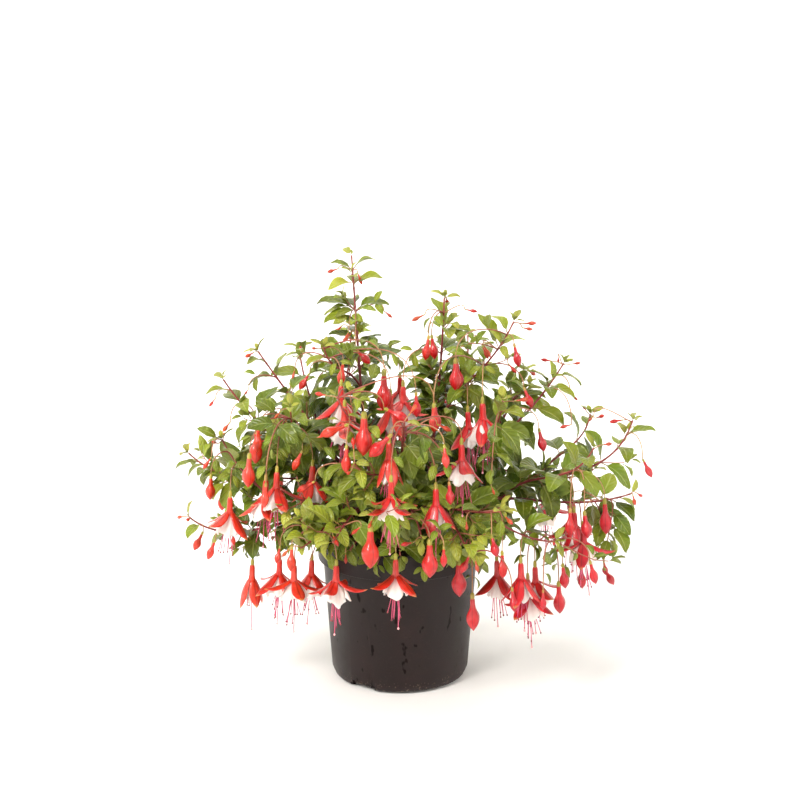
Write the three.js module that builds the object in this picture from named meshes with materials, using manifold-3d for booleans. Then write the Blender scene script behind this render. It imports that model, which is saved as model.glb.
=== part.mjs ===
// A fuchsia in flower, in a round plastic nursery pot.
// Millimetres, +Z up. The origin is the middle of the pot's underside, and -Y is the front.
// Three rooted cuttings grow in the soil. Each has a short woody base, from which leafy shoots fork and
// arch over the rim. They carry opposite leaves and, on thin stalks from the leaf joints, buds. Each
// open flower is a red calyx, which holds the stamens, with a white corolla of its own below it.

import * as THREE from "three";
import { mergeVertices } from "three/addons/utils/BufferGeometryUtils.js";
import Module from "manifold-3d";

const wasm = await Module();
wasm.setup();

// Pot
const POT_HEIGHT = 150;
const RIM_RADIUS = 85.5;
const RIM_DEPTH = 2;
const COLLAR_RADIUS = 84;
const COLLAR_FOOT_HEIGHT = 124;
const WALL_TOP_RADIUS = 78.5;
const WALL_FOOT_RADIUS = 70;
const WALL = 1.8;
const FOOT_CORNER = 9;
const FOOT_RING_INNER_RADIUS = 57;
const FLOOR_HEIGHT = 5;
const CENTRE_PAD_RADIUS = 13;
const POT_SIDES = 24;
const NOTCH_COUNT = 3;
const NOTCH_WIDTH = 30;
const NOTCH_HEIGHT = 9;
const FIRST_NOTCH_TURN = 34.5;
const DRAIN_HOLE_RADIUS = 5;
const DRAIN_HOLE_AT = 44;
const DRAIN_HOLE_SIDES = 8;
const NOTCH_EDGE = 4;

// Soil
const SOIL_TOP = 138;
const SOIL_DOME = 3;
const SOIL_SIDES = 12;
const SEAT_GAP = 0.35;

// Stems
const ROOT_DEPTH = 34;
const WOODY_HEIGHT = 22;
const WOODY_RADIUS = 4.2;
const SHOOT_BASE_RADIUS = 2.4;
const FORK_BASE_RADIUS = 1.3;
const SHOOT_TIP_RADIUS = 0.8;
const SHOOT_SIDES = 4;
const FORK_SIDES = 3;
const CURVE_REACH = 0.4;
const BARE_SHARE = 0.3;
const BARE_STEP = 44;
const JOINTS_FROM_TIP = [2, 15, 33, 56, 84, 115, 148, 182];
const LEAVES_FROM_TIP = [15, 23, 29, 33, 36, 37, 37, 35];

// Leaves
const LEAF_WIDTH_SHARE = 0.29;
const LEAF_WIDEST_AT = 0.52;
const LEAF_HALF_THICKNESS = 0.6;
const LEAF_FOLD = 17;
const SMALL_LEAF = 37;
const PETIOLE_SHARE = 0.2;
const PETIOLE_HALF_WIDTH = 1;
const LEAF_SPREAD = 66;
const TIP_LEAF_SPREAD = 48;
const LEAF_DROOP = 0.12;
const LEAF_TOWARDS_TIP = 0.45;
const PAIR_TURN = 20;
const LEAF_TURN = 24;
const LEAF_SIZES = [0.92, 1.08];
const LEAF_RISES = [16, 34];
const LEAF_BENDS = [44, 78];
const LEAF_ROLLS = [-15, 15];
const SPARE_TURNS = [0, 28, -28, 56, -56];
const SPARE_SCALES = [1, 0.85];

// Buds and their stalks
const BUD_WIDTH_SHARE = 0.18;
const BUD_SIDES = 4;
// Shares of the bud's length and of its half width
const BUD_OUTLINE = [
  [0.32, 0.4],
  [0.72, 1],
  [1, 0],
];
const HEAVY_BUD = 26;
const HEAVY_BUD_LEAN = 4;
const YOUNG_BUD_LEAN = 32;
const STALK_RADIUS = 0.7;
const STALK_REACH = 0.45;
const STALK_RISE = 0.5;
const STALK_DROP = 6;

// Open flowers
const OVARY_LENGTH = 7;
const OVARY_RADIUS = 2.5;
const TUBE_END = 24;
const TUBE_RADIUS = 4.4;
const TUBE_SIDES = 4;
const SEPAL_LENGTH = 32;
const SEPAL_HALF_WIDTH = 6.2;
const SEPAL_HALF_THICKNESS = 0.6;
const SEPAL_WIDEST_AT = 0.55;
const SEPAL_ROOT_ABOVE = 3;
const SEPAL_ROOT_INSET = 1.4;
const SEPAL_RISES = [-60, -44];
const SEPAL_BENDS = [38, -40];
const SEPAL_FOLD = -14;
const COROLLA_LENGTH = 22;
const COROLLA_RADIUS = 14.5;
const COROLLA_FOOT_RADIUS = 2.6;
const COROLLA_SHUT_SHARE = 0.42;
const COROLLA_SHOULDER = 0.56;
const COROLLA_SHOULDER_AT = 0.36;
const COROLLA_SIDES = 8;
const COROLLA_NOTCH = 0.8;
const THREAD_ROOT_ABOVE = 2;
const FILAMENT_COUNT = 2;
const FILAMENT_LENGTH = 36;
const FILAMENT_SPREAD = 6;
const FILAMENT_ROOT = 1.4;
const FILAMENT_RADIUS = 0.7;
const STYLE_LENGTH = 56;
const STYLE_RADIUS = 0.8;
const FLOWER_LEAN = 0.06;

// How far apart pieces stay while the plant is laid out, and the room that each kind takes
const CLEARANCE = 7;
const AXIL_REACH = 12;
const STEM_STEP = 6;
const STEM_ROOM = 1;
const STALK_ROOM = 0.5;
const FLOWER_STEP = 5;
const BELL_ROOM = 10;
const TUBE_ROOM = 4;
const SEPAL_ROOM = 2.5;
const BUD_ROOM = 3;
// Where a leaf is tried for room, in shares of its length and of its half width
const LEAF_PROBES = [
  [0.4, 0.75],
  [0.55, 0.8],
  [0.7, 0.7],
  [0.85, 0.4],
  [1, 0],
];
const POT_CLEAR_RADIUS = 91;
const POT_CLEAR_HEIGHT = 157;

// The cuttings, each with its place on the soil. A shoot leaves the woody base at `height` above the
// soil and goes to `tip`. It leaves at `rise` degrees above the horizon and ends at `ends` degrees. Its
// forks leave it at the share `at` of its length.
const CUTTINGS = [
  {
    place: [-25, 10],
    shoots: [
      {
        height: 20,
        tip: [-48, 15, 430],
        rise: 82,
        ends: 86,
        forks: [{ at: 0.5, tip: [-74, -38, 348], rise: 60, ends: 72 }],
      },
      {
        height: 18,
        tip: [-144, 32, 330],
        rise: 60,
        ends: 55,
        forks: [{ at: 0.5, tip: [-105, 78, 324], rise: 60, ends: 70 }],
      },
      {
        height: 14,
        tip: [-173, -30, 314],
        rise: 50,
        ends: 58,
        forks: [
          { at: 0.5, tip: [-104, -86, 298], rise: 60, ends: 65 },
          { at: 0.16, tip: [-216, 22, 226], rise: 40, ends: 45 },
        ],
      },
      {
        height: 8,
        tip: [-206, -64, 184],
        rise: 46,
        ends: 44,
        forks: [{ at: 0.45, tip: [-178, -8, 248], rise: 45, ends: 65 }],
      },
      {
        height: 16,
        tip: [-122, 164, 258],
        rise: 60,
        ends: 40,
        forks: [
          { at: 0.45, tip: [-52, 128, 338], rise: 68, ends: 75 },
          { at: 0.25, tip: [-188, 108, 196], rise: 40, ends: 25 },
        ],
      },
    ],
  },
  {
    place: [0, -26],
    shoots: [
      {
        height: 20,
        tip: [4, -158, 302],
        rise: 76,
        ends: 34,
        forks: [
          { at: 0.5, tip: [-58, -124, 318], rise: 60, ends: 70 },
          { at: 0.25, tip: [-42, -152, 262], rise: 45, ends: 40 },
        ],
      },
      {
        height: 10,
        tip: [-112, -118, 228],
        rise: 56,
        ends: 40,
        forks: [
          { at: 0.4, tip: [-92, -150, 180], rise: 30, ends: 0 },
          { at: 0.3, tip: [-62, -158, 188], rise: 40, ends: -10 },
        ],
      },
      {
        height: 14,
        tip: [20, -158, 192],
        rise: 68,
        ends: -20,
        forks: [{ at: 0.4, tip: [-22, -172, 218], rise: 50, ends: 20 }],
      },
      {
        height: 12,
        tip: [92, -158, 218],
        rise: 60,
        ends: 20,
        forks: [
          { at: 0.3, tip: [145, -130, 180], rise: 42, ends: 10 },
          { at: 0.4, tip: [66, -158, 176], rise: 30, ends: -15 },
        ],
      },
    ],
  },
  {
    place: [25, 10],
    shoots: [
      {
        height: 8,
        tip: [224, -72, 210],
        rise: 52,
        ends: 25,
        forks: [{ at: 0.42, tip: [182, -106, 264], rise: 50, ends: 62 }],
      },
      {
        height: 14,
        tip: [232, -10, 268],
        rise: 50,
        ends: 75,
        forks: [{ at: 0.5, tip: [195, 34, 264], rise: 50, ends: 78 }],
      },
      {
        height: 18,
        tip: [165, 20, 320],
        rise: 56,
        ends: 60,
        forks: [
          { at: 0.45, tip: [128, 66, 302], rise: 55, ends: 70 },
          { at: 0.4, tip: [98, -72, 302], rise: 60, ends: 70 },
        ],
      },
      {
        height: 20,
        tip: [44, 10, 388],
        rise: 84,
        ends: 88,
        forks: [{ at: 0.42, tip: [111, -22, 370], rise: 62, ends: 66 }],
      },
      {
        height: 12,
        tip: [24, 204, 236],
        rise: 60,
        ends: 30,
        forks: [{ at: 0.3, tip: [-52, 208, 190], rise: 45, ends: 10 }],
      },
      {
        height: 16,
        tip: [140, 146, 246],
        rise: 56,
        ends: 38,
        forks: [
          { at: 0.45, tip: [72, 112, 332], rise: 66, ends: 75 },
          { at: 0.22, tip: [206, 84, 192], rise: 40, ends: 25 },
        ],
      },
    ],
  },
];

// Each open flower hangs from the nearest leaf joint above `at`, the top of its ovary. `open` goes from
// 0, its sepals still together, to 1, with them spread wide. `turn` is about its own axis, in degrees.
const FLOWERS = [
  { at: [-146, -50, 137], open: 0.1, turn: 30 },
  { at: [-101, -102, 154], open: 0.9, turn: 20 },
  { at: [-87, -50, 142], open: 0.8, turn: 50 },
  { at: [-60, -124, 161], open: 1, turn: 75 },
  { at: [-4, -130, 169], open: 0.9, turn: 10 },
  { at: [-8, -170, 256], open: 0.9, turn: 40 },
  { at: [-164, -72, 213], open: 0.9, turn: 55 },
  { at: [-128, -86, 234], open: 0.8, turn: 15 },
  { at: [-84, -74, 245], open: 0.7, turn: 70 },
  { at: [-56, -66, 322], open: 0.7, turn: 35 },
  { at: [-52, -92, 308], open: 0.8, turn: 5 },
  { at: [3, -50, 318], open: 0.9, turn: 60 },
  { at: [-10, -138, 284], open: 0.3, turn: 20 },
  { at: [78, -84, 309], open: 0.9, turn: 80 },
  { at: [66, -38, 290], open: 0.7, turn: 45 },
  { at: [57, -124, 279], open: 0.9, turn: 10 },
  { at: [33, -144, 242], open: 0.3, turn: 65 },
  { at: [169, -36, 192], open: 0.8, turn: 30 },
  { at: [175, -96, 190], open: 0.9, turn: 75 },
  { at: [121, -120, 146], open: 0.9, turn: 55 },
  { at: [94, -76, 150], open: 0.7, turn: 35 },
  { at: [-130, 132, 176], open: 1, turn: 15 },
  { at: [-30, 176, 176], open: 0.8, turn: 65 },
  { at: [62, 164, 190], open: 1, turn: 40 },
  { at: [156, 108, 168], open: 0.9, turn: 75 },
  { at: [0, 132, 288], open: 0.7, turn: 25 },
];

// Each bud hangs like a flower, from the nearest leaf joint above `at`.
const BUDS = [
  { at: [-55, -40, 335], length: 25 },
  { at: [-90, 0, 314], length: 20 },
  { at: [-15, -90, 337], length: 40 },
  { at: [-139, -50, 270], length: 36 },
  { at: [-143, -92, 256], length: 34 },
  { at: [-33, -136, 307], length: 42 },
  { at: [-49, -142, 277], length: 27 },
  { at: [-189, -16, 214], length: 27 },
  { at: [31, -10, 355], length: 25 },
  { at: [55, -30, 335], length: 31 },
  { at: [111, -30, 350], length: 24 },
  { at: [122, -20, 304], length: 22 },
  { at: [135, -50, 270], length: 24 },
  { at: [237, -50, 239], length: 21 },
  { at: [31, -120, 311], length: 28 },
  { at: [15, -95, 316], length: 24 },
  { at: [40, -158, 281], length: 22 },
  { at: [-193, -60, 168], length: 21 },
  { at: [-181, -60, 160], length: 22 },
  { at: [-102, -122, 174], length: 26 },
  { at: [-27, -162, 207], length: 42 },
  { at: [27, -168, 195], length: 37 },
  { at: [55, -130, 163], length: 37 },
  { at: [69, -114, 124], length: 38 },
  { at: [84, -160, 196], length: 21 },
  { at: [95, -142, 175], length: 27 },
  { at: [104, -150, 142], length: 24 },
  { at: [155, -110, 152], length: 25 },
  { at: [153, -95, 129], length: 33 },
  { at: [176, -80, 142], length: 26 },
  { at: [199, -66, 204], length: 37 },
  { at: [201, -58, 130], length: 20 },
  { at: [-150, 118, 232], length: 30 },
  { at: [-92, 150, 262], length: 24 },
  { at: [4, 184, 226], length: 36 },
  { at: [48, 150, 262], length: 26 },
  { at: [122, 150, 212], length: 34 },
  { at: [182, 84, 170], length: 30 },
  { at: [-190, 96, 170], length: 28 },
];

const UP = new THREE.Vector3(0, 0, 1);
const RADIANS = Math.PI / 180;
const SHORTEST_EDGE = 0.005;

const between = ([low, high], share) => THREE.MathUtils.lerp(low, high, share);

// A repeatable run of draws from 0 to 1.
function seeded(seed) {
  let state = seed * 7919 + 101;
  const draw = () => {
    state = (state * 48271) % 2147483647;
    return state / 2147483647;
  };
  draw();
  return draw;
}

// Solid of a closed three.js geometry, with doubled vertices joined and collapsed triangles dropped.
function solidOf(geometry) {
  const bare = new THREE.BufferGeometry().setAttribute("position", geometry.getAttribute("position"));
  const merged = mergeVertices(bare.setIndex(geometry.index), 1e-4);
  const corners = merged.index.array;
  const kept = [];
  for (let i = 0; i < corners.length; i += 3) {
    const [a, b, c] = corners.slice(i, i + 3);
    if (a !== b && b !== c && c !== a) kept.push(a, b, c);
  }
  const vertProperties = merged.attributes.position.array;
  return new wasm.Manifold(new wasm.Mesh({ numProp: 3, vertProperties, triVerts: new Uint32Array(kept) }));
}

function fuse(solids) {
  return solids.reduce((whole, piece) => whole.add(piece));
}

// Geometry of a solid's largest body, with the shortest edges closed up and any loose scrap left out.
function geometryOf(solid) {
  const bodies = solid.asOriginal().simplify(SHORTEST_EDGE).decompose();
  bodies.sort((a, b) => b.volume() - a.volume());
  const { vertProperties, triVerts } = bodies[0].getMesh();
  return new THREE.BufferGeometry()
    .setAttribute("position", new THREE.BufferAttribute(vertProperties, 3))
    .setIndex(new THREE.BufferAttribute(triVerts, 1));
}

// A bar through `points`, with a radius at each: a cylinder whose rings are moved to the points. One of
// its corners starts out towards `corner`.
function bar(points, radii, sides, corner = new THREE.Vector3(1, 0, 0)) {
  const last = points.length - 1;
  const geometry = new THREE.CylinderGeometry(1, 1, 1, sides, last);
  const frames = [];
  let across = corner;
  points.forEach((point, i) => {
    const along = points[Math.min(i + 1, last)].clone().sub(points[Math.max(i - 1, 0)]).normalize();
    if (Math.abs(along.dot(across)) > 0.9) across = new THREE.Vector3(0, 1, 0);
    across = across.clone().addScaledVector(along, -across.dot(along)).normalize();
    frames.push([across, along.clone().cross(across)]);
  });
  const position = geometry.getAttribute("position");
  const local = new THREE.Vector3();
  for (let i = 0; i < position.count; i++) {
    local.fromBufferAttribute(position, i);
    const ring = Math.round((0.5 - local.y) * last);
    const [x, z] = frames[ring];
    const moved = points[ring].clone().addScaledVector(x, local.x * radii[ring]);
    moved.addScaledVector(z, local.z * radii[ring]);
    position.setXYZ(i, moved.x, moved.y, moved.z);
  }
  return solidOf(geometry);
}

// How a thin blade lies: from `root` it goes along `out`, tipped up by `rise` and bending down by
// `bend` over its length, with its two halves folded up by `fold`. All three angles are in degrees.
function bladePose(root, out, face, length, rise, bend, fold) {
  const up = face.clone().addScaledVector(out, -face.dot(out)).normalize();
  return { root, out, up, side: out.clone().cross(up), length, rise, bend, fold };
}

// Where a point of the flat blade goes on the bent one.
function onBlade(pose, along, across, lift) {
  const start = pose.rise * RADIANS;
  const curve = (pose.bend * RADIANS) / pose.length;
  const angle = start - curve * along;
  const fold = pose.fold * RADIANS;
  const ahead = (Math.sin(start) - Math.sin(angle)) / curve;
  const above = (Math.cos(angle) - Math.cos(start)) / curve;
  const off = Math.abs(across) * Math.sin(fold) + lift;
  return pose.root
    .clone()
    .addScaledVector(pose.out, ahead - Math.sin(angle) * off)
    .addScaledVector(pose.up, above + Math.cos(angle) * off)
    .addScaledVector(pose.side, across * Math.cos(fold));
}

// A blade from its outline, which lists distances along it with the half width at each: a four-sided
// spindle, pressed flat and bent to its pose. Its two ridges are the midrib, above and below.
function blade(outline, pose, halfThickness) {
  const profile = outline.map(([along, halfWidth]) => new THREE.Vector2(halfWidth, along));
  const geometry = new THREE.LatheGeometry(profile, 4);
  const position = geometry.getAttribute("position");
  for (let i = 0; i < position.count; i++) {
    const ridge = position.getZ(i);
    const isRidge = Math.abs(ridge) > 1e-4;
    const across = isRidge ? 0 : position.getX(i);
    const moved = onBlade(pose, position.getY(i), across, isRidge ? Math.sign(ridge) * halfThickness : 0);
    position.setXYZ(i, moved.x, moved.y, moved.z);
  }
  return solidOf(geometry);
}

// The space that laid-out pieces take, as points that others keep clear of.
const taken = [];

function take(points, radius) {
  for (const point of points) taken.push({ point, radius });
}

// Whether points are clear of the pot and of all that is taken, apart from what lies round `root`.
function isClear(points, root) {
  const others = taken.filter((other) => other.point.distanceTo(root) >= AXIL_REACH);
  return points.every((point) => {
    const overPot = Math.hypot(point.x, point.y) < POT_CLEAR_RADIUS;
    if (point.z < CLEARANCE || (overPot && point.z < POT_CLEAR_HEIGHT)) return false;
    return others.every((other) => point.distanceTo(other.point) > CLEARANCE + other.radius);
  });
}

// A shoot's curve from its start to its tip.
function shootCurve(start, { tip, rise, ends }) {
  const end = new THREE.Vector3(...tip);
  const reach = start.distanceTo(end) * CURVE_REACH;
  const outward = end.clone().sub(start).setZ(0).normalize();
  const heading = (degrees) =>
    outward.clone().multiplyScalar(Math.cos(degrees * RADIANS)).setZ(Math.sin(degrees * RADIANS));
  return new THREE.CubicBezierCurve3(
    start,
    start.clone().addScaledVector(heading(rise), reach),
    end.clone().addScaledVector(heading(ends), -reach),
    end,
  );
}

// Every shoot with its leaf joints, from the lowest to the tip. Each joint has its place, the way the
// stem runs there, and its rank from the tip.
function layOutShoots() {
  const shoots = [];
  CUTTINGS.forEach(({ place: [x, y], shoots: mains }, cutting) => {
    for (const main of mains) {
      const start = new THREE.Vector3(x, y, SOIL_TOP + SOIL_DOME + main.height);
      const curve = shootCurve(start, main);
      shoots.push({ cutting, curve, isFork: false, ...jointsOn(curve, BARE_SHARE * curve.getLength()) });
      for (const fork of main.forks) {
        const own = shootCurve(curve.getPointAt(fork.at), fork);
        shoots.push({ cutting, curve: own, isFork: true, ...jointsOn(own, AXIL_REACH) });
      }
    }
  });
  return shoots;
}

function jointsOn(curve, bareLength) {
  const length = curve.getLength();
  const joints = [];
  JOINTS_FROM_TIP.forEach((fromTip, rank) => {
    if (length - fromTip < bareLength) return;
    const share = 1 - fromTip / length;
    joints.unshift({ rank, share, point: curve.getPointAt(share), along: curve.getTangentAt(share) });
  });
  return { length, joints, stalks: [], leaves: [] };
}

// The points that a shoot's bar passes through: bare steps from its start, then halfway between joints.
function shootPoints({ curve, length, joints }) {
  const shares = joints.slice(1).map((joint, i) => (joint.share + joints[i].share) / 2);
  const steps = Math.max(1, Math.round((shares[0] * length) / BARE_STEP));
  const bare = Array.from({ length: steps }, (_, i) => (i / steps) * shares[0]);
  return [...bare, ...shares, 1].map((share) => curve.getPointAt(share));
}

// A direction from a joint, at `turn` degrees about the stem and `spread` degrees off its line.
function fromJoint(joint, turn, spread) {
  const { along } = joint;
  const level = along.clone().cross(UP);
  if (level.length() < 0.15) level.set(1, 0, 0);
  level.addScaledVector(along, -level.dot(along)).normalize();
  const upper = level.clone().cross(along);
  return along
    .clone()
    .multiplyScalar(Math.cos(spread * RADIANS))
    .addScaledVector(level, Math.sin(spread * RADIANS) * Math.cos(turn * RADIANS))
    .addScaledVector(upper, Math.sin(spread * RADIANS) * Math.sin(turn * RADIANS));
}

// The nearest leaf joint that something can hang from, with its stem.
function jointAbove(shoots, top) {
  let best;
  for (const shoot of shoots) {
    for (const joint of shoot.joints) {
      const away = joint.point.distanceTo(top);
      const isNearer = !best || away < best.away;
      if (joint.point.z > top.z + STALK_DROP && isNearer) best = { shoot, joint, away };
    }
  }
  return best;
}

// A thin stalk that leaves its joint towards `end`, arches over and comes down to it.
function hangFrom(shoots, end) {
  const { shoot, joint } = jointAbove(shoots, end);
  const reach = joint.point.distanceTo(end) * STALK_REACH;
  const out = end.clone().sub(joint.point).setZ(0).normalize();
  out.addScaledVector(UP, STALK_RISE).normalize();
  const curve = new THREE.CubicBezierCurve3(
    joint.point,
    joint.point.clone().addScaledVector(out, reach),
    end.clone().addScaledVector(UP, reach),
    end,
  );
  take([0.3, 0.5, 0.7, 0.9].map((share) => curve.getPoint(share)), STALK_ROOM);
  return { shoot, curve };
}

// The axis of a flower, from the top of its ovary, and the two directions across it.
function flowerFrame({ at: [x, y, z], turn }) {
  const down = new THREE.Vector3(x, y, 0).normalize().multiplyScalar(FLOWER_LEAN).sub(UP).normalize();
  const right = new THREE.Vector3(Math.cos(turn * RADIANS), Math.sin(turn * RADIANS), 0);
  right.addScaledVector(down, -right.dot(down)).normalize();
  return { top: new THREE.Vector3(x, y, z), down, right, back: down.clone().cross(right) };
}

// A point of a flower, so far down its axis and so far out from it, at `degrees` round it.
function onFlower(frame, distance, radius, degrees) {
  return frame.top
    .clone()
    .addScaledVector(frame.down, distance)
    .addScaledVector(frame.right, radius * Math.cos(degrees * RADIANS))
    .addScaledVector(frame.back, radius * Math.sin(degrees * RADIANS));
}

// Sepals start in the tube's wall. Shut ones lie along the petals, and open ones spread out.
function sepalPose({ frame, open }, index) {
  const turn = 90 * index;
  const root = onFlower(frame, TUBE_END - SEPAL_ROOT_ABOVE, TUBE_RADIUS - SEPAL_ROOT_INSET, turn);
  const out = onFlower(frame, 0, 1, turn).sub(frame.top);
  const face = frame.down.clone().negate();
  const [rise, bend] = [between(SEPAL_RISES, open), between(SEPAL_BENDS, open)];
  return bladePose(root, out, face, SEPAL_LENGTH, rise, bend, SEPAL_FOLD);
}

function layOutFlowers(shoots) {
  return FLOWERS.map((entry) => {
    const flower = { ...entry, frame: flowerFrame(entry) };
    const { shoot, curve } = hangFrom(shoots, onFlower(flower.frame, -SEAT_GAP, 0, 0));
    shoot.stalks.push({ curve });
    for (let d = 2; d < TUBE_END + STYLE_LENGTH; d += FLOWER_STEP) {
      const isBell = d > TUBE_END && d < TUBE_END + COROLLA_LENGTH;
      take([onFlower(flower.frame, d, 0, 0)], isBell ? BELL_ROOM : TUBE_ROOM);
    }
    for (let i = 0; i < 4; i++) {
      const pose = sepalPose(flower, i);
      const along = [0.35, 0.5, 0.65, 0.8, 1].map((share) => onBlade(pose, share * SEPAL_LENGTH, 0, 0));
      take(along, SEPAL_ROOM);
    }
    return flower;
  });
}

// Heavy buds hang straight down, and young ones lean outwards.
function layOutBuds(shoots) {
  for (const { at, length } of BUDS) {
    const top = new THREE.Vector3(...at);
    const lean = length < HEAVY_BUD ? YOUNG_BUD_LEAN : HEAVY_BUD_LEAN;
    const down = new THREE.Vector3(top.x, top.y, 0).normalize().multiplyScalar(Math.sin(lean * RADIANS));
    down.addScaledVector(UP, -Math.cos(lean * RADIANS));
    const { shoot, curve } = hangFrom(shoots, top);
    shoot.stalks.push({ curve, bud: { top, down, length } });
    const shares = [0.1, 0.3, 0.5, 0.7, 0.9];
    take(shares.map((share) => top.clone().addScaledVector(down, share * length)), BUD_ROOM);
  }
}

// Leaves in opposite pairs, each pair turned square to the last. A leaf takes the first clear pose of
// a few, and is left out where there is none.
function layOutLeaves(shoots) {
  shoots.forEach((shoot, index) => {
    const draw = seeded(700 + index);
    const firstTurn = 90 * Math.floor(2 * draw()) + PAIR_TURN * (draw() - 0.5);
    for (const joint of shoot.joints) {
      for (const half of [0, 180]) {
        const turn = firstTurn + 90 * joint.rank + half + LEAF_TURN * (draw() - 0.5);
        const size = LEAVES_FROM_TIP[joint.rank] * between(LEAF_SIZES, draw());
        const [rise, bend, roll] = [LEAF_RISES, LEAF_BENDS, LEAF_ROLLS].map((ends) => between(ends, draw()));
        if (joint.rank === 0) continue;
        const tries = leafTries(joint, turn, size, { rise, bend, roll });
        const pose = tries.find((tried) => isClear(leafProbes(tried), joint.point));
        if (!pose) continue;
        shoot.leaves.push(pose);
        take(leafProbes(pose), 0);
      }
    }
  });
}

function leafTries(joint, turn, size, nature) {
  const tries = [];
  for (const scale of SPARE_SCALES) {
    for (const extra of SPARE_TURNS) tries.push(leafPose(joint, turn + extra, size * scale, nature));
  }
  return tries;
}

function leafPose(joint, turn, size, { rise, bend, roll }) {
  const spread = joint.rank < 2 ? TIP_LEAF_SPREAD : LEAF_SPREAD;
  const out = fromJoint(joint, turn, spread).addScaledVector(UP, -LEAF_DROOP).normalize();
  const face = UP.clone().addScaledVector(joint.along, LEAF_TOWARDS_TIP);
  const side = out.clone().cross(face).normalize();
  face.addScaledVector(side, Math.sin(roll * RADIANS));
  return bladePose(joint.point, out, face, size / (1 - PETIOLE_SHARE), rise, bend, LEAF_FOLD);
}

function leafProbes(pose) {
  const probes = [];
  const width = LEAF_WIDTH_SHARE * pose.length;
  for (const [share, wide] of LEAF_PROBES) {
    for (const side of wide ? [-wide, 0, wide] : [0]) {
      probes.push(onBlade(pose, share * pose.length, side * width, 0));
    }
  }
  return probes;
}

// One solid for a cutting: its woody base, and its shoots with their leaves, stalks and buds.
function leafyCutting([x, y], shoots) {
  const foot = new THREE.Vector3(x, y, SOIL_TOP - ROOT_DEPTH);
  const head = new THREE.Vector3(x, y, SOIL_TOP + SOIL_DOME + WOODY_HEIGHT);
  const pieces = [bar([foot, head], [WOODY_RADIUS, 0.8 * WOODY_RADIUS], SHOOT_SIDES)];
  for (const shoot of shoots) {
    const points = shootPoints(shoot);
    const base = shoot.isFork ? FORK_BASE_RADIUS : SHOOT_BASE_RADIUS;
    const radii = points.map((_, i) => between([base, SHOOT_TIP_RADIUS], i / points.length));
    pieces.push(bar(points, radii, shoot.isFork ? FORK_SIDES : SHOOT_SIDES));
    shoot.leaves.forEach((pose) => pieces.push(leaf({ ...pose, root: onStem(points, pose.root) })));
    shoot.stalks.forEach((stalk) => pieces.push(stalkWithBud(stalk, points)));
  }
  return fuse(pieces);
}

// The point of a stem's straight lengths that is nearest to `spot`, so that what grows there is joined.
function onStem(points, spot) {
  const nearest = points.slice(1).map((point, i) => {
    return new THREE.Line3(points[i], point).closestPointToPoint(spot, true, new THREE.Vector3());
  });
  return nearest.reduce((best, near) => (near.distanceTo(spot) < best.distanceTo(spot) ? near : best));
}

function leaf(pose) {
  const outline = [
    [0, 0],
    [LEAF_WIDEST_AT * pose.length, LEAF_WIDTH_SHARE * pose.length],
    [pose.length, 0],
  ];
  const hasPetiole = pose.length > SMALL_LEAF;
  if (hasPetiole) outline.splice(1, 0, [PETIOLE_SHARE * pose.length, PETIOLE_HALF_WIDTH]);
  return blade(outline, pose, LEAF_HALF_THICKNESS);
}

// A stalk, and at its end the ovary, tube and shut sepals of a bud where it carries one.
function stalkWithBud({ curve, bud }, stem) {
  const points = [onStem(stem, curve.v0), curve.getPoint(0.5), curve.v3.clone()];
  const radii = [0.5 * STALK_RADIUS, STALK_RADIUS, STALK_RADIUS];
  if (!bud) return bar(points, radii, FORK_SIDES);
  const width = BUD_WIDTH_SHARE * bud.length;
  for (const [share, wide] of BUD_OUTLINE) {
    points.push(bud.top.clone().addScaledVector(bud.down, share * bud.length));
    radii.push(wide * width);
  }
  return bar(points, radii, BUD_SIDES);
}

// The red part of an open flower: ovary, tube, four sepals, and the filaments and style that hang out.
function calyx(flower) {
  const { frame } = flower;
  const ringsAt = [0, OVARY_LENGTH, TUBE_END];
  const tube = bar(
    ringsAt.map((distance) => onFlower(frame, distance, 0, 0)),
    [OVARY_RADIUS, OVARY_RADIUS, TUBE_RADIUS],
    TUBE_SIDES,
    frame.right,
  );
  const outline = [
    [0, 0],
    [SEPAL_WIDEST_AT * SEPAL_LENGTH, SEPAL_HALF_WIDTH],
    [SEPAL_LENGTH, 0],
  ];
  const sepals = [0, 1, 2, 3].map((i) => blade(outline, sepalPose(flower, i), SEPAL_HALF_THICKNESS));
  const threadRoot = TUBE_END - THREAD_ROOT_ABOVE;
  const filaments = [];
  for (let i = 0; i < FILAMENT_COUNT; i++) {
    const turn = (360 / FILAMENT_COUNT) * i;
    const start = onFlower(frame, threadRoot, FILAMENT_ROOT, turn);
    const end = onFlower(frame, TUBE_END + FILAMENT_LENGTH, FILAMENT_SPREAD, turn);
    filaments.push(bar([start, end], [FILAMENT_RADIUS, 0], FORK_SIDES));
  }
  const style = [onFlower(frame, threadRoot, 0, 0), onFlower(frame, TUBE_END + STYLE_LENGTH, 0, 0)];
  return fuse([tube, ...sepals, ...filaments, bar(style, [STYLE_RADIUS, 0], FORK_SIDES)]);
}

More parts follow.
